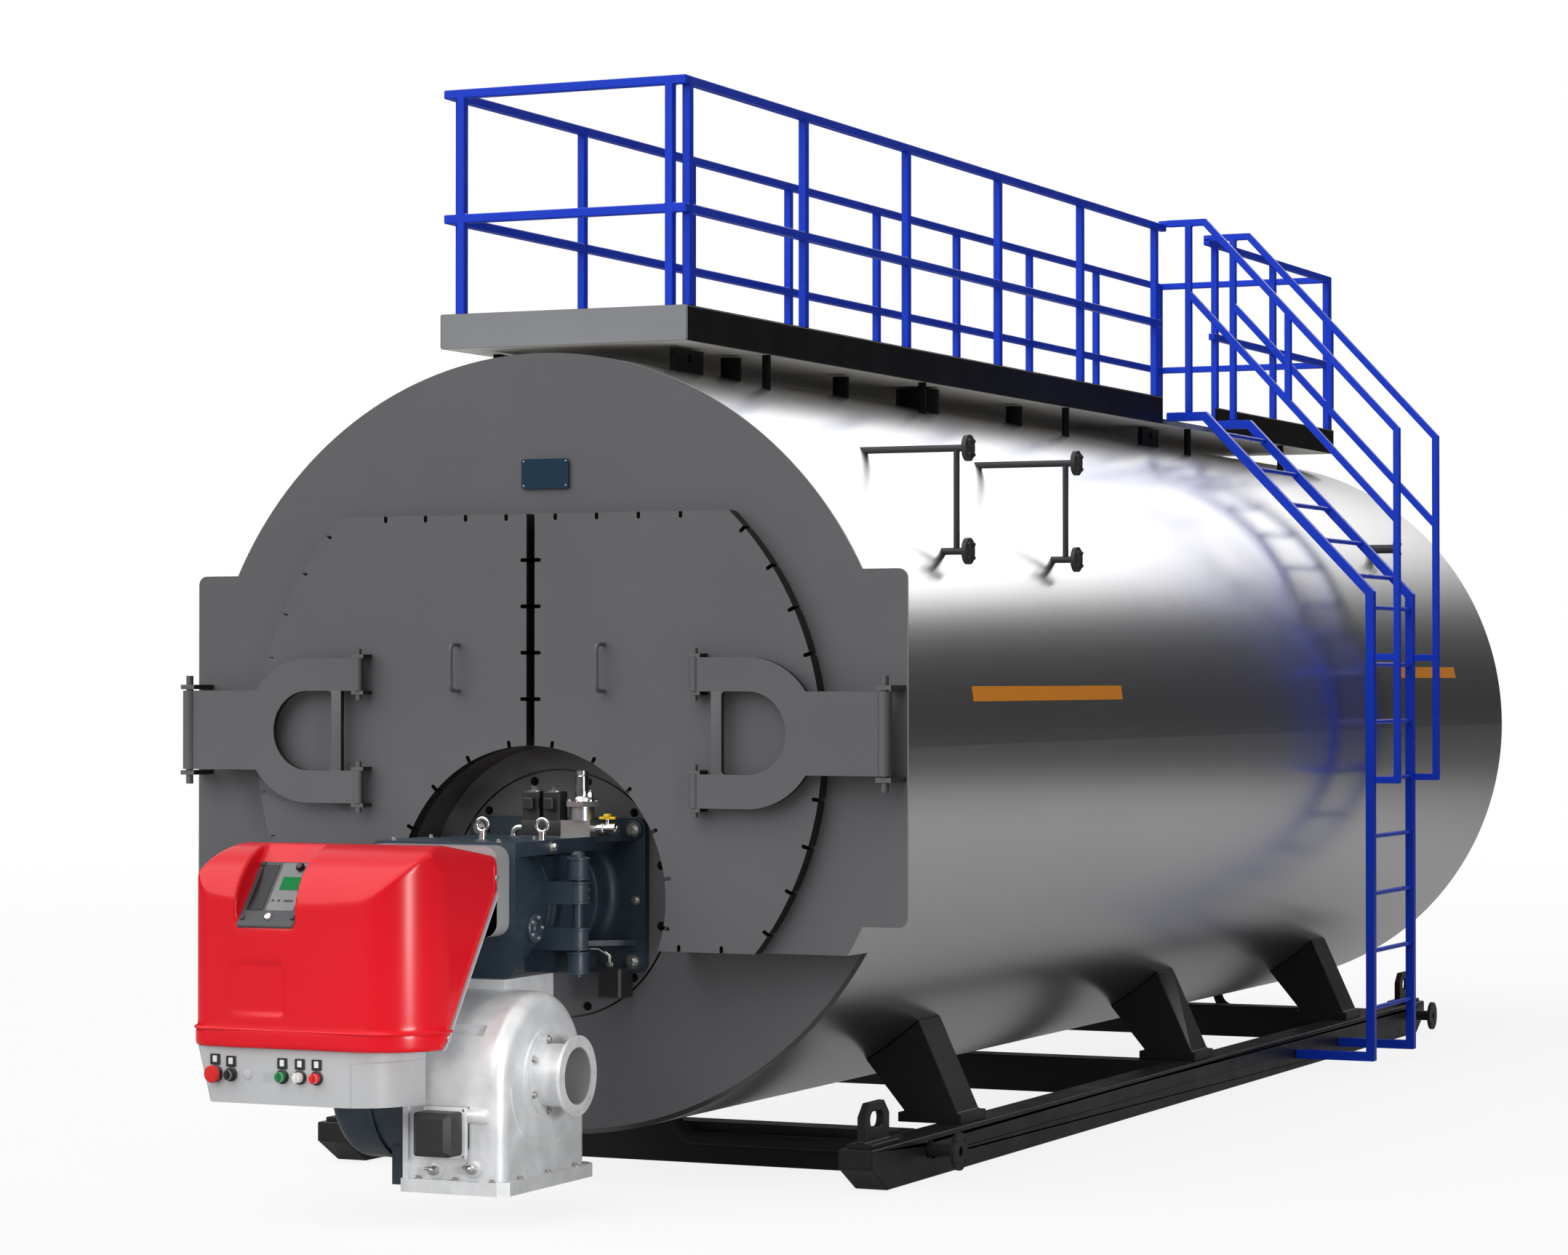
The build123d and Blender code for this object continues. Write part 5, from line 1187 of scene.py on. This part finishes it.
def by_distance(tree, socket, near, far):
    """Sets a socket by the distance from the boiler's middle: near and far are (metres, value) pairs."""
    coords = add_node(tree, "ShaderNodeTexCoord")
    distance = add_node(tree, "ShaderNodeVectorMath")
    distance.operation = "LENGTH"
    limits = {"From_Min": near[0], "To_Min": near[1], "From_Max": far[0], "To_Max": far[1]}
    fade = add_node(tree, "ShaderNodeMapRange", **limits)
    fade.interpolation_type = "SMOOTHSTEP"
    tree.links.new(coords.outputs["Object"], distance.inputs[0])
    tree.links.new(distance.outputs["Value"], fade.inputs["Value"])
    tree.links.new(fade.outputs["Result"], socket)


def mix_shaders(tree, first, second):
    """Mix of two shaders, whose factor is linked later."""
    mix = add_node(tree, "ShaderNodeMixShader")
    tree.links.new(first, mix.inputs[1])
    tree.links.new(second, mix.inputs[2])
    return mix


def make_stage(name, bm, material, reflected_only=True):
    """Turns a bmesh into a piece of the studio, which may show in reflections alone."""
    mesh = bpy.data.meshes.new(name)
    bm.to_mesh(mesh)
    bm.free()
    mesh.materials.append(material)
    piece = bpy.data.objects.new(name, mesh)
    bpy.context.scene.collection.objects.link(piece)
    if reflected_only:
        piece.visible_camera = False
        piece.visible_diffuse = False
        piece.visible_shadow = False


def build_floor():
    """Wide pale floor that reads as white paper and keeps a soft shadow."""
    bm = bmesh.new()
    add_lathe(bm, (0, 0, 0), Z, ((0, 0), (FLOOR_RADIUS, 0)), STAGE_SEGMENTS)
    material, tree, shader = new_material("pale_floor", Roughness=0.9, Base_Color=(0.5, 0.5, 0.5, 1))
    paper = add_node(tree, "ShaderNodeBsdfDiffuse", Color=(0.9, 0.9, 0.9, 1))
    glow = add_node(tree, "ShaderNodeEmission")
    white = mix_shaders(tree, paper.outputs["BSDF"], glow.outputs["Emission"])
    by_distance(tree, white.inputs["Fac"], *FLOOR_WHITE)
    mix = mix_shaders(tree, shader.outputs["BSDF"], white.outputs["Shader"])
    tree.links.new(seen_rays(tree), mix.inputs["Fac"])
    tree.links.new(mix.outputs["Shader"], tree.nodes["Material Output"].inputs["Surface"])
    make_stage("floor", bm, material, reflected_only=False)


def build_card():
    """Grey card on the floor that darkens outwards, which only mirror-like surfaces show."""
    bm = bmesh.new()
    add_lathe(bm, (0, 0, CARD_LIFT), Z, ((0, 0), (CARD_RADIUS, 0)), STAGE_SEGMENTS)
    material, tree, shader = new_material("grey_card", Roughness=1.0, Emission_Color=WHITE)
    by_distance(tree, shader.inputs["Base Color"], *CARD_SHADE)
    by_distance(tree, shader.inputs["Emission Strength"], *CARD_GLOW)
    make_stage("studio_card", bm, material)


def build_flags():
    """Dark band of studio flags round the horizon, which only mirror-like surfaces show."""
    bm = bmesh.new()
    add_lathe(bm, (0, 0, 0), Z, ((FLAG_RADIUS, 0), (FLAG_RADIUS, FLAG_HEIGHT)), STAGE_SEGMENTS)
    material, tree, shader = new_material("dark_cloth", Roughness=1.0)
    tint(tree, noise(tree, *FLAG_NOISE), shader, (0.02, 0.02, 0.021), *FLAG_SHADES)
    make_stage("studio_flags", bm, material)


def build_screen():
    """Bright screen behind the boiler, above the flags, which only mirror-like surfaces show."""
    side, foot, top = SCREEN_SIDE, SCREEN_FOOT, SCREEN_TOP
    bm = bmesh.new()
    corners = ((-side, foot), (side, foot), (side, top), (-side, top))
    bm.faces.new([bm.verts.new((x, SCREEN_Y, z)) for x, z in corners])
    glow = {"Emission_Color": WHITE, "Emission_Strength": 1.8}
    make_stage("studio_screen", bm, new_material("lit_cloth", Roughness=1.0, **glow)[0])


def build_world():
    """White surroundings that light the boiler softly."""
    world = bpy.data.worlds.new("studio")
    bpy.context.scene.world = world
    world.use_nodes = True
    tree = world.node_tree
    strength = add_node(tree, "ShaderNodeMapRange", To_Min=WORLD_LIGHT, To_Max=1.0)
    tree.links.new(seen_rays(tree), strength.inputs["Value"])
    background = tree.nodes["Background"]
    background.inputs["Color"].default_value = WHITE
    tree.links.new(strength.outputs["Result"], background.inputs["Strength"])


def add_lamp(light, place, back):
    """Hangs a lamp at a place, with its back along a direction."""
    lamp = bpy.data.objects.new(light.name, light)
    lamp.location = place
    lamp.rotation_euler = back.to_track_quat("Z", "Y").to_euler()
    bpy.context.scene.collection.objects.link(lamp)


def build_lamps():
    """A broad, soft sun from the front left, and a narrow fill lamp for the burner's right side."""
    spot = bpy.data.lights.new("fill", "SPOT")
    spot.energy = 1100
    spot.spot_size = radians(20)
    spot.spot_blend = 0.7
    spot.shadow_soft_size = 0.7
    add_lamp(spot, FILL_FROM, FILL_FROM - FILL_TO)
    sun = bpy.data.lights.new("key", "SUN")
    sun.energy = 2.7
    sun.angle = radians(85)
    add_lamp(sun, (0, 0, 0), SUN_FROM)


def build_camera():
    """Camera as it was fitted to the photograph."""
    lens = bpy.data.cameras.new("camera")
    lens.lens = 91.853
    lens.sensor_fit = "HORIZONTAL"
    lens.sensor_width = 36
    lens.shift_x, lens.shift_y = (-0.0118, -0.0006)
    lens.clip_end = 2 * FLOOR_RADIUS
    camera = bpy.data.objects.new("camera", lens)
    camera.location = (8.166, -20.175, 2.214)
    camera.rotation_euler = (radians(90.743), 0, radians(24.264))
    bpy.context.scene.collection.objects.link(camera)
    bpy.context.scene.camera = camera


build_floor()
build_card()
build_flags()
build_screen()
build_world()
build_lamps()
build_camera()
bpy.context.scene.view_settings.view_transform = "Standard"
